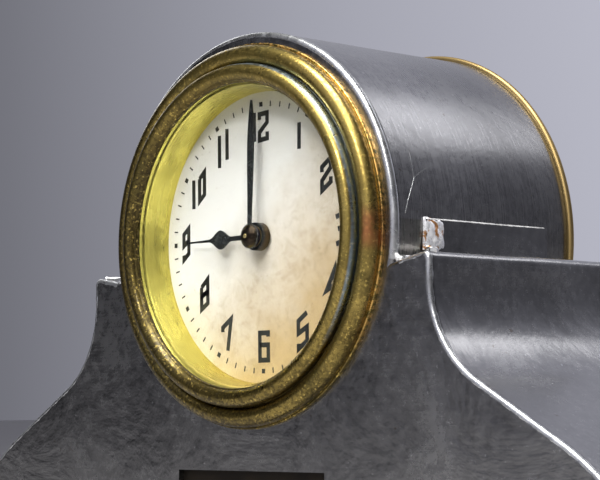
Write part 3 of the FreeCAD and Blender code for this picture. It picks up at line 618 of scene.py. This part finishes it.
def bezel_section():
    """Two rolled beads, a groove between them, a flange lip and a hollow back."""
    return chain(
        (34.35, 0.0), (34.35, -0.4), arc((34.35, -0.4), (34.25, -0.6), (34.0, -0.62), 5),
        (33.82, -0.6), arc((33.8, -0.62), (32.1, -3.1), (30.42, -1.95), 26),
        arc((30.42, -1.95), (30.30, -1.80), (30.22, -2.05), 6),
        arc((30.20, -2.10), (28.85, -4.58), (27.35, -3.50), 26),
        arc((27.35, -3.50), (27.12, -3.35), (27.1, -3.10), 6),
        (27.1, -2.62), (27.9, -2.62), (27.9, -3.0),
        arc((27.95, -3.05), (28.8, -4.0), (29.9, -2.4), 10),
        (30.1, -0.9), (30.1, 2.4), (30.6, 2.4), (30.6, -0.6),
        arc((30.7, -0.75), (31.9, -2.4), (33.2, 0.0), 10))


def ring_section():
    """The reflector ring: a thin cone with a lip behind the bezel and a soft foot."""
    return chain((27.05, -2.6), (29.4, -2.6), (29.4, -2.3), (27.35, -2.3),
                 (26.6, DIAL_FACE - 0.1), (26.5, DIAL_FACE),
                 (26.2, DIAL_FACE), arc((26.22, DIAL_FACE - 0.2), (26.56, 0.9), (27.03, -2.3), 24))


def drum_section():
    """Closed section of the drum: rounded front corner, skin, inner skin."""
    skin = np.linspace(1.55, DRUM_END - 0.1, 44)
    outer = np.stack([0 * skin + DRUM, skin], -1)
    return chain((DRUM - 0.8, 1.2), (DRUM - 0.35, 1.2),
                 arc((DRUM - 0.35, 1.2), (DRUM - 0.10, 1.28), (DRUM, 1.52), 6),
                 outer, (DRUM - 0.05, DRUM_END), (DRUM - 0.8, DRUM_END))


# Burred scratches on the drum, as clock angle in degrees and depth.
SCRATCHES = (
    ((70.0, 6.2), (74.4, 6.0), (78.0, 5.85), (81.5, 4.65), (84.3, 3.65), (87.8, 2.8)),
    ((78.0, 5.85), (76.2, 7.6), (74.5, 9.9)),
)


def on_drum(path):
    """Points of a path in clock angle and depth, smoothed, lying on the drum's skin."""
    path = np.asarray(path, float)
    t = np.linspace(0, len(path) - 1, 12 * len(path))
    angle = np.radians(np.interp(t, np.arange(len(path)), path[:, 0]))
    depth = np.interp(t, np.arange(len(path)), path[:, 1])
    r = DRUM - 0.02
    return track(r * np.sin(angle), depth, r * np.cos(angle))


def flare_path(inset, count=22):
    """The right side from the drum joint to the foot, inset along its own normal.

    Shoulder arc, small corner, neck, a hollow arc, a straight slope and a full arc
    down to the plinth, each tangent to the next.
    """
    down, over = math.sin(FLARE_TURN), math.cos(FLARE_TURN)
    rest = SLOPE_END_X - NECK_X - FLARE_RADIUS * (1 - over)
    knee = (SLOPE_END_X, NECK_Z - FLARE_RADIUS * down - rest * over / down)
    foot = (FOOT_X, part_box("base_plinth")[1].z * 1000 - DIAL_AXIS.z * 1000)
    across = (foot[0] - knee[0], foot[1] - knee[1])
    belly = -(across[0] ** 2 + across[1] ** 2) / (2 * (across[0] * over + across[1] * down))
    hub = (knee[0] - belly * over, knee[1] - belly * down)
    last = math.asin((foot[1] - hub[1]) / (belly - inset))
    corner = np.radians(np.linspace(90, 0, 7))
    hollow = math.pi + np.linspace(0, FLARE_TURN, count)
    full = np.linspace(FLARE_TURN, last, count)
    small, wide, round_foot = TIP_ROUND - inset, FLARE_RADIUS + inset, belly - inset
    joint = math.sqrt(DRUM ** 2 - JOINT_Z ** 2)
    middle = (NECK_X + FLARE_RADIUS, NECK_Z)
    return chain(
        arc((joint, JOINT_Z - inset), (SHOULDER_MIDDLE[0], SHOULDER_MIDDLE[1] - inset),
            (SHOULDER[0], SHOULDER[1] - inset), 12),
        np.stack([SHOULDER[0] + small * np.cos(corner),
                  SHOULDER[1] - TIP_ROUND + small * np.sin(corner)], -1),
        (NECK_X - inset, NECK_TOP),
        np.stack([middle[0] + wide * np.cos(hollow), middle[1] + wide * np.sin(hollow)], -1),
        (SLOPE_MIDDLE[0] - inset * over, SLOPE_MIDDLE[1] - inset * down),
        np.stack([hub[0] + round_foot * np.cos(full), hub[1] + round_foot * np.sin(full)], -1))


def wrap_parts(uneven):
    """The side wrap's sheet, carried back between the plates, and its upright flange."""
    outer, inner = flare_path(0.0), flare_path(WRAP_SHEET)
    outline = np.concatenate([outer[outer[:, 0] > DRUM - 0.02],
                              inner[inner[:, 0] > DRUM - 0.02][::-1]])
    sheet = drawn(outline, np.linspace(1.2, DEEP - 1.2, 36), uneven, 1.3)
    low, high = FLANGE_LOW, FLANGE_HIGH
    side = chain((DRUM, low), (DRUM, high - 0.1), (DRUM + 0.12, high), (DRUM + 0.42, high),
                 (DRUM + 0.57, high - 0.05), (DRUM + 0.6, high - 0.18), (DRUM + 0.6, low))
    flange = drawn(side, np.linspace(7.2, 38.6, 30), 0.02, 0.4)
    return [sheet, flange]


def track(x, depth, z):
    """One path of (x, depth, z) points from three rows or single numbers."""
    return np.stack(np.broadcast_arrays(x, depth, z), -1)


def even(path, gap):
    """The same path with points about a gap apart, set straight between its corners."""
    length = np.concatenate([[0], np.cumsum(np.hypot(*np.diff(path, axis=0).T))])
    along = np.linspace(0, length[-1], int(length[-1] / gap) + 1)
    return np.stack([np.interp(along, length, path[:, 0]),
                     np.interp(along, length, path[:, 1])], -1)


def solder_patch(side=60):
    """The faceted patch of solder over the front end of the flange.

    A square grid over depth and height: its thickness is a rounded pillow of both,
    broken by slanted folds, each the absolute value of a sine of height less depth.
    """
    u, v = np.meshgrid(np.linspace(0, 1, side), np.linspace(0, 1, side), indexing="ij")
    pillow = (np.sin(math.pi * u) * np.sin(math.pi * v)) ** 0.35
    fold = np.abs(np.sin(5.2 * v - 3.4 * u + 0.6)) * 0.30 + 0.16 * np.abs(np.sin(11 * u + 4 * v))
    x = DRUM + 0.15 + pillow * (0.62 + 0.9 * fold)
    depth = 6.95 + 4.8 * u - 0.2 * v * (1 - u)
    z = 1.0 - 5.6 * v - 0.35 * u + 0.12 * np.sin(9 * u)
    outer = to_frame(x, depth, z)
    inner = to_frame(0 * x + DRUM + 0.05, depth, z)
    both = np.concatenate([outer.reshape(-1, 3), inner.reshape(-1, 3)])
    face, size = grid_faces(side, side), side * side
    rim = np.concatenate([np.arange(side), np.arange(1, side) * side + side - 1,
                          size - 1 - np.arange(1, side), (side - 2 - np.arange(side - 2)) * side])
    after = np.roll(rim, -1)
    wall = np.stack([rim, after, after + size, rim + size], -1)
    return both, np.concatenate([face, face + size, wall])


def flipped(parts):
    """The same parts mirrored through the plane x = 0."""
    out = []
    for points, faces in parts:
        points = np.array(points, float).reshape(-1, 3) * [-1, 1, 1]
        out.append((points, faces))
    return out


# Strokes of the numerals in millimetres about the dial's centre: (x, z) paths.
NUMERALS = {
    "twelve": [[(-1.80, 22.65), (-1.80, 17.35)],
               [(-0.45, 21.2), (-0.45, 22.2), (1.60, 22.3), (1.60, 20.6), (-0.45, 18.9),
                (-0.45, 17.5), (1.60, 17.7), (1.60, 18.9)]],
    "one": [[(9.95, 19.6), (9.85, 14.9)]],
    "two": [[(15.55, 10.2), (15.55, 11.1), (17.75, 12.6), (17.75, 10.9), (15.55, 8.7),
             (15.55, 7.0), (17.75, 8.4), (17.75, 9.3)]],
    "three": [[(18.85, 2.15), (20.95, 2.75), (20.95, -1.95), (18.85, -2.55)],
              [(19.35, 0.05), (20.95, 0.45)]],
    "four": [[(18.35, -12.0), (18.35, -6.9), (16.35, -10.4), (19.1, -9.1)]],
    "five": [[(11.35, -14.0), (9.15, -15.45), (9.15, -17.6), (11.35, -16.5),
              (11.35, -18.9), (9.15, -20.3), (9.15, -19.4)]],
    "six": [[(1.30, -17.9), (1.30, -17.2), (-0.90, -17.2), (-0.90, -22.05), (1.30, -22.05),
             (1.30, -19.35), (-0.90, -19.35)]],
    "seven": [[(-10.9, -16.7), (-10.9, -15.9), (-8.60, -14.35), (-9.55, -20.1)]],
    "eight": [[(-16.75, -8.25), (-15.0, -6.75), (-15.0, -9.0), (-16.75, -10.0),
               (-16.75, -8.25)],
              [(-16.75, -10.0), (-15.0, -9.0), (-15.0, -11.2), (-16.75, -12.3),
               (-16.75, -10.0)]],
    "nine": [[(-20.3, 0.7), (-21.7, -0.2), (-21.7, 1.9), (-20.3, 3.0), (-20.3, -1.7),
              (-21.7, -2.8), (-21.7, -2.0)]],
    "ten": [[(-18.75, 11.9), (-18.75, 6.5)],
            [(-17.1, 12.0), (-15.7, 13.2), (-15.7, 9.0), (-17.1, 7.85), (-17.1, 12.0)]],
    "eleven": [[(-11.4, 19.5), (-11.4, 13.5)], [(-9.3, 20.55), (-9.3, 14.85)]],
}


# Brightness of the room against the bearing as a share of a turn, 0.5 straight ahead.
ROOM_LEVELS = ((0.0, 0.60), (0.100, 0.50), (0.128, 0.36), (0.155, 0.16), (0.28, 0.03),
               (0.350, 0.01), (0.376, 0.03), (0.398, 0.40), (0.43, 0.72), (0.55, 0.50),
               (0.65, 0.15), (0.80, 0.05), (0.880, 0.08), (0.915, 0.22), (0.94, 0.46),
               (1.0, 0.60))


# Lamps: name, direction, distance and size in metres, watts, colour, spin in degrees.
LAMPS = (
    ("key", (0.31, -0.78, 0.54), 0.75, (0.12, 0.12), 2.1, (1.0, 0.985, 0.95), 0),
    ("softbox", (0.20, -0.50, 0.83), 0.70, (0.42, 0.22), 2.8, (1.0, 0.99, 0.97), 0),
    ("strip", (0.10, -0.25, 0.90), 0.60, (0.34, 0.20), 5.0, (1.0, 1.0, 0.98), 0),
    ("band", (0.19, 0.47, 0.47), 0.66, (0.24, 0.11), 0.26, (0.98, 0.98, 1.0), 60),
    ("rim", (-0.9, 0.35, 0.5), 0.80, (0.25, 0.35), 0.8, (1.0, 1.0, 1.0), 0),
)


def minute_track(radius, face):
    """Square hour dots and short minute ticks, as flat bands on the radius."""
    parts = []
    for minute in range(60):
        a = math.radians(6 * minute)
        out = np.array([math.sin(a), math.cos(a)])
        reach = (0.42, 0.84) if minute % 5 == 0 else (0.50, 0.26)
        ends = [out * (radius - reach[0]), out * (radius + reach[0])]
        parts.append(stroke(ends, reach[1], face))
    return parts


# ------------------------------------------------------------ operators


class ClockStep:
    """Shared settings of the clock's operators."""

    bl_options = {"REGISTER", "UNDO"}

    @property
    def size(self):
        return bpy.context.scene.clock_sizes

    @property
    def hue(self):
        return bpy.context.scene.clock_colours


class CLOCK_OT_case(ClockStep, bpy.types.Operator):
    """Finish the flat plates, plinth and base of the case"""

    bl_idname = "clock.case"
    bl_label = "Case plates and plinth"

    def execute(self, context):
        # Painted shade: the plates get the wraps' tin darkened to 0.88, to match the front plate's
        # darker look.
        tin = tin_finish("tinned_plate", tint(self.hue.tin, 0.88), (0.08, 0.08, 2.6))
        give(["front_plate", "back_plate"], tin)
        give(["base_plinth", "base_plate", "base_posts"],
             tin_finish("tinned_plinth", tint(self.hue.tin, 0.95), (0.08, 2.6, 2.6)))
        give(["base_screws", "cover_screws", "movement_screws", "balance_screws",
              "pillar_nuts"], steel_finish("screw_steel", (0.50, 0.50, 0.50)))
        return {"FINISHED"}


class CLOCK_OT_wraps(ClockStep, bpy.types.Operator):
    """Make the flared side wraps with their soldered flanges"""

    bl_idname = "clock.wraps"
    bl_label = "Side wraps"

    def execute(self, context):
        tin = tin_finish("tinned_wrap", self.hue.tin, (2.4, 0.07, 2.4))
        parts = wrap_parts(self.size.dent)
        piece("wrap_right", parts, "case", tin, ["side_wrap_right"])
        piece("wrap_left", flipped(parts), "case", tin, ["side_wrap_left"])
        return {"FINISHED"}


class CLOCK_OT_drum(ClockStep, bpy.types.Operator):
    """Make the drum's skin and the scratches in it"""

    bl_idname = "clock.drum"
    bl_label = "Drum shell"

    def execute(self, context):
        tin = tin_finish("tinned_drum", self.hue.drum, (1, 1, 1), round_axis=True)
        piece("drum_skin", [turned(drum_section(), 320, self.size.dent * 0.4, 0.8)],
              "case", tin, ["drum_shell"])
        marks = [bead(on_drum(path), 0.055, 8, 0.25, 0.4) for path in SCRATCHES]
        piece("drum_scratches", marks, "case",
              solder_finish("scratched_tin", tint(self.hue.solder, 0.5), 0.02, 0.0))
        return {"FINISHED"}


class CLOCK_OT_seams(ClockStep, bpy.types.Operator):
    """Make the soldered edge beads, the drum's rim bead and the solder beside the drum"""

    bl_idname = "clock.seams"
    bl_label = "Solder seams"

    def execute(self, context):
        bright = solder_finish("cast_solder", self.hue.solder, 0.06, 0.12, 0.8)
        seam = self.size.seam
        flare = even(flare_path(0.0, 60), 0.5)
        edge = flare[flare[:, 0] > DRUM + 0.6]
        step = np.gradient(edge, axis=0)
        step /= np.linalg.norm(step, axis=1)[:, None]
        edge = edge + np.stack([step[:, 1], -step[:, 0]], -1) * 0.97 * seam
        parts = []
        for depth in (0.97 * seam, DEEP - 0.97 * seam):
            run = bead(track(edge[:, 0], depth, edge[:, 1]), seam, 12, 0.035, 1.7)
            parts += [run] + flipped([run])
        a = np.radians(np.linspace(-100, 100, 260))
        rim = track((DRUM - 0.70) * np.sin(a), 0.84, (DRUM - 0.70) * np.cos(a))
        parts.append(bead(rim, 0.84, 16, 0.012, 2.6))
        smooth = solder_finish("edge_solder", tint(self.hue.solder, 0.74), 0.04, 0.0, 0.95)
        piece("edge_seams", parts, "case", smooth)
        t, run = np.linspace(0, 1, 30), np.linspace(0, 1, 90)
        blob = track(DRUM + 0.7 + 6.2 * t, 9.2 - 7.2 * t, -4.6 - 0.75 * t)
        foot = track(DRUM + 0.1, 2.2 + 41.0 * run, -6.0 + 0.10 * np.sin(9 * run))
        wedge = [bead(blob, 0.42 + 0.20 * np.sin(7 * t), 12, 0.10, 0.3),
                 bead(foot, 0.36, 10, 0.14, 0.6)]
        lip = track(DRUM + 0.40, 7.4 + 30.6 * run, 0.62 + 0.02 * np.sin(7 * run))
        drop = track(DRUM - 0.35 + 0.9 * t, 0.75 + 0.5 * t, -5.4 - 1.0 * np.sin(2.6 * t))
        clean = [bead(lip, 0.20, 8, 0.10, 2.2),
                 bead(drop, 0.34 + 0.25 * np.sin(math.pi * t), 12, 0.06, 1.9)]
        patch = [solder_patch()]
        piece("solder_wedges", wedge + flipped(wedge), "case", bright,
              ["solder_fillets"])
        piece("solder_lips", clean + flipped(clean), "case",
              solder_finish("bright_solder", (0.92, 0.91, 0.90), 0.03, 0.0, 0.45))
        piece("solder_patches", patch + flipped(patch), "case",
              solder_finish("faceted_solder", (0.95, 0.95, 0.97), 0.16, 0.95, 0.6), crease=20)
        return {"FINISHED"}


class CLOCK_OT_bezel(ClockStep, bpy.types.Operator):
    """Make the tarnished bezel and the bright reflector ring behind it"""

    bl_idname = "clock.bezel"
    bl_label = "Bezel and reflector ring"

    def execute(self, context):
        aged = aged_brass("aged_brass", self.hue.bezel, self.hue.bezel_brown)
        # Painted shade on the reflector ring: darkest at nine and six o'clock, clean at the upper left.
        clean = clean_brass("bright_brass", self.hue.bright, 0.20, 0.38, dull=(
            (0.0, 0.48), (0.12, 0.34), (0.25, 0.30), (0.60, 0.10), (0.85, 0.0), (0.93, 0.05),
            (1.0, 0.48)))
        piece("bezel_rings", [turned(bezel_section(), 384, 0.012, 0.4)], "case",
              aged, ["bezel"], crease=55)
        piece("sight_ring", [turned(ring_section(), 320, 0.01, 1.1)], "case",
              clean, ["reflector_ring"], crease=50)
        return {"FINISHED"}


class CLOCK_OT_dial(ClockStep, bpy.types.Operator):
    """Finish the dial and print its numerals and minute track"""

    bl_idname = "clock.dial"
    bl_label = "Dial and numerals"

    def execute(self, context):
        give(["dial"], dial_finish("ivory_enamel", self.hue.ivory, self.hue.honey))
        ink = paint_finish("dial_ink", self.hue.ink, 0.4, (0.10, 0.09, 0.07))
        figures = [stroke(path, self.size.print_width, DIAL_FACE)
                   for paths in NUMERALS.values() for path in paths]
        piece("numerals", figures, "case", ink)
        piece("minute_track", minute_track(self.size.dot_radius, DIAL_FACE), "case",
              ink)
        return {"FINISHED"}


class CLOCK_OT_hands(ClockStep, bpy.types.Operator):
    """Finish the hands and make the turned hub pieces"""

    bl_idname = "clock.hands"
    bl_label = "Hands and hub"

    def execute(self, context):
        black = paint_finish("hand_lacquer", self.hue.ink, 0.22)
        give(["hour_hand", "minute_hand"], black)
        bronze = clean_brass("hub_bronze", (0.060, 0.045, 0.030), 0.12, 0.26)
        face = HAND_FACE
        cap = chain((0.0, face - 1.0), (0.30, face - 1.0),
                    arc((0.32, face - 0.99), (0.44, face - 0.93), (0.50, face - 0.82), 6),
                    arc((0.56, face - 0.86), (1.10, face - 0.84), (1.50, face - 0.60), 12),
                    arc((1.53, face - 0.56), (1.88, face - 0.32), (2.1, face), 10),
                    (0.8, face), (0.8, face - 0.45), (0.0, face - 0.45))
        piece("hub_cap", [turned(cap, 128)], "minute_hand_group", bronze,
              ["hand_cap"], crease=28)
        tip = chain((0.0, face - 1.12), arc((0.02, face - 1.12), (0.30, face - 1.08),
                    (0.42, face - 0.96), 8), (0.42, face - 0.86), (0.0, face - 0.86))
        piece("arbor_tip", [turned(tip, 64)], "minute_hand_group",
              clean_brass("tip_brass", (0.80, 0.66, 0.34), 0.10, 0.2), crease=50)
        low, high = face + 0.3, face + 1.1
        boss = chain((0.81, low), (1.78, low), arc((1.8, low), (1.9, low + 0.08), (1.82, low + 0.3), 7),
                     (1.62, low + 0.4), arc((1.82, low + 0.5), (1.9, low + 0.65), (1.85, high), 7),
                     (0.81, high))
        piece("minute_boss", [turned(boss, 128)], "minute_hand_group",
              clean_brass("boss_black", (0.040, 0.032, 0.045), 0.14, 0.28),
              ["minute_hand_collet"])
        low, high = face + 1.6, face + 3.0
        collet = chain((1.91, low), (2.3, low), arc((2.3, low), (2.5, low + 0.1), (2.5, low + 0.3), 6),
                       (2.5, high - 0.5), (2.38, high - 0.42), arc((2.5, high - 0.3), (2.5, high - 0.1),
                       (2.3, high), 6), (1.91, high))
        piece("hour_collet", [turned(collet, 128)], "hour_hand_group",
              clean_brass("collet_bronze", (0.085, 0.060, 0.030), 0.14, 0.30),
              ["hour_hand_collet"])
        return {"FINISHED"}


class CLOCK_OT_glass(ClockStep, bpy.types.Operator):
    """Finish the flat crystal"""

    bl_idname = "clock.glass"
    bl_label = "Crystal"

    def execute(self, context):
        give(["crystal"], glass_finish("flat_glass"))
        frame["nodes"]["crystal"].visible_shadow = False
        return {"FINISHED"}


class CLOCK_OT_window(ClockStep, bpy.types.Operator):
    """Finish the window's frame and the panel behind it, both near-black, partly as painted shade"""

    bl_idname = "clock.window"
    bl_label = "Window"

    def execute(self, context):
        # The frame and the panel are near-black lacquer; the near-black is partly painted shade inside
        # the window's recess.
        dust, shine = (0.05, 0.04, 0.03), 0.12
        give(["window_frame"], paint_finish("frame_black_shade", (0.008, 0.006, 0.004), 0.5, dust, shine))
        give(["window_panel"], paint_finish("panel_black_shade", (0.006, 0.005, 0.006), 0.6, dust, shine))
        return {"FINISHED"}


class CLOCK_OT_back(ClockStep, bpy.types.Operator):
    """Finish the rear cover with its rolled rim, the key, the knob and the regulator"""

    bl_idname = "clock.back"
    bl_label = "Rear cover and controls"

    def execute(self, context):
        brass = clean_brass("cover_brass", self.hue.cover, 0.36, 0.55)
        give(["back_cover", "winding_key", "set_knob"], brass)
        give(["regulator_index"], steel_finish("lever_steel", (0.55, 0.56, 0.58)))
        return {"FINISHED"}


class CLOCK_OT_movement(ClockStep, bpy.types.Operator):
    """Finish the movement's brass, steel and springs"""

    bl_idname = "clock.movement"
    bl_label = "Movement"

    def execute(self, context):
        slots = {s["node"]: s["material_slot"] for s in frame["record"]["subparts"]}
        works = clean_brass("movement_brass", self.hue.works, 0.25, 0.45)
        steel = steel_finish("arbor_steel", (0.60, 0.61, 0.63))
        blued = steel_finish("blued_steel", (0.12, 0.15, 0.26), 0.22)
        by_slot = {"movement_brass": works, "arbor_steel": steel, "spring_steel": blued}
        for slot, finish in by_slot.items():
            names = [n for n, s in slots.items() if s == slot and n in frame["nodes"]
                     and n != "regulator_index"]
            give(names, finish)
        give(["mounting_straps"], tin_finish("tinned_strap", self.hue.drum, (2.4, 0.08, 2.4)))
        return {"FINISHED"}


class CLOCK_OT_pads(ClockStep, bpy.types.Operator):
    """Finish the felt pads under the base"""

    bl_idname = "clock.pads"
    bl_label = "Felt pads"

    def execute(self, context):
        give(["felt_pads"], felt_finish("pressed_felt", self.hue.felt))
        return {"FINISHED"}


class CLOCK_OT_stage(ClockStep, bpy.types.Operator):
    """Set up the floor, the soft studio lights and the camera"""

    bl_idname = "clock.stage"
    bl_label = "Studio"

    def lamp(self, name, towards, distance, size, power, colour, spin):
        """A rectangular lamp at a distance from the dial's height, facing it."""
        target = Vector((0, 0, DIAL_AXIS.z))
        away = Vector(towards).normalized()
        data = bpy.data.lights.new(name, "AREA")
        data.shape, data.size, data.size_y = "RECTANGLE", size[0], size[1]
        data.energy, data.color = power, colour
        item = bpy.data.objects.new(name, data)
        item.location = target + away * distance
        roll = Matrix.Rotation(math.radians(spin), 3, "Z")
        item.rotation_euler = (away.to_track_quat("Z", "Y").to_matrix() @ roll).to_euler()
        bpy.context.collection.objects.link(item)

    def sky(self, room):
        """A plain room as a ramp over the bearing, dimmer straight up.

        The bearing is the arc tangent of x over minus y: 0 in front, +90 to the right.
        """
        world = bpy.data.worlds.new("studio")
        bpy.context.scene.world = world
        world.use_nodes = True
        n = Nodes(world.node_tree)
        ray = n.add("ShaderNodeTexCoord").outputs["Generated"]
        x, y, z = n.add("ShaderNodeSeparateXYZ", {"Vector": ray}).outputs
        bearing = n.math("ARCTAN2", x, n.times(y, -1.0))
        around = n.ramp(n.share(bearing, 0.5 / math.pi),
                        *((where, tuple(level * c for c in room)) for where, level in ROOM_LEVELS))
        height = n.ramp(n.share(z, 0.5), (0.5, 1.0), (0.72, 1.15), (0.85, 1.0), (1.0, 0.6))
        back = n.tree.nodes["Background"]
        n.put(back.inputs["Color"], n.mix(1.0, around, height, "MULTIPLY"))
        n.put(back.inputs["Strength"], 1.0)

    def execute(self, context):
        room = tuple(self.hue.room)
        u = np.linspace(-6.0, 6.0, 24)
        x, y = np.meshgrid(u, u, indexing="ij")
        points = np.stack([x, y, 0 * x - 0.0004], -1).reshape(-1, 3)
        mesh = bpy.data.meshes.new("floor")
        mesh.from_pydata(points.tolist(), [], grid_faces(24, 24).tolist())
        floor = bpy.data.objects.new("floor", mesh)
        context.collection.objects.link(floor)
        f = Finish("studio_floor")
        tone = f.noise(120.0, 3.0, 0.5)
        base = f.mix(tone, (0.34, 0.33, 0.33), (0.46, 0.45, 0.45))
        mesh.materials.append(f.done(base, f.ramp(tone, (0.3, 0.55), (0.7, 0.7))))
        self.sky(room)
        for settings in LAMPS:
            self.lamp(*settings)
        data = bpy.data.cameras.new("camera")
        data.lens, data.sensor_width = self.size.lens, 36.0
        data.clip_start, data.clip_end = 0.01, 50.0
        camera = bpy.data.objects.new("camera", data)
        level = math.cos(CAMERA_RISE)
        look = Vector((-math.sin(CAMERA_BEARING) * level, math.cos(CAMERA_BEARING) * level,
                       math.sin(CAMERA_RISE)))
        camera.matrix_world = (
            Matrix.Translation(Vector((0, FRONT, DIAL_AXIS.z)) + CAMERA_FROM_DIAL)
            @ (-look).to_track_quat("Z", "Y").to_matrix().to_4x4()
            @ Matrix.Rotation(CAMERA_ROLL, 4, "Z"))
        context.collection.objects.link(camera)
        context.scene.camera = camera
        context.scene.view_settings.view_transform = "Standard"
        return {"FINISHED"}


STEPS = (CLOCK_OT_case, CLOCK_OT_wraps, CLOCK_OT_drum, CLOCK_OT_seams, CLOCK_OT_bezel,
         CLOCK_OT_dial, CLOCK_OT_hands, CLOCK_OT_glass, CLOCK_OT_window, CLOCK_OT_back,
         CLOCK_OT_movement, CLOCK_OT_pads, CLOCK_OT_stage)


class CLOCK_PT_panel(bpy.types.Panel):
    """Lists the clock's steps and settings"""

    bl_idname = "CLOCK_PT_panel"
    bl_label = "Mantel clock"
    bl_space_type = "VIEW_3D"
    bl_region_type = "UI"
    bl_category = "Clock"

    def draw(self, context):
        for group in (context.scene.clock_sizes, context.scene.clock_colours):
            for name in group.__annotations__:
                self.layout.prop(group, name)
        for step in STEPS:
            self.layout.operator(step.bl_idname)


CLASSES = (CLOCK_PG_sizes, CLOCK_PG_colours) + STEPS + (CLOCK_PT_panel,)


def register():
    for item in CLASSES:
        bpy.utils.register_class(item)
    bpy.types.Scene.clock_sizes = PointerProperty(type=CLOCK_PG_sizes)
    bpy.types.Scene.clock_colours = PointerProperty(type=CLOCK_PG_colours)


def unregister():
    del bpy.types.Scene.clock_sizes
    del bpy.types.Scene.clock_colours
    for item in reversed(CLASSES):
        bpy.utils.unregister_class(item)


def main():
    """Registers the add-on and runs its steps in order."""
    register()
    for step in STEPS:
        group, name = step.bl_idname.split(".")
        getattr(getattr(bpy.ops, group), name)()


if __name__ == "__main__":
    main()
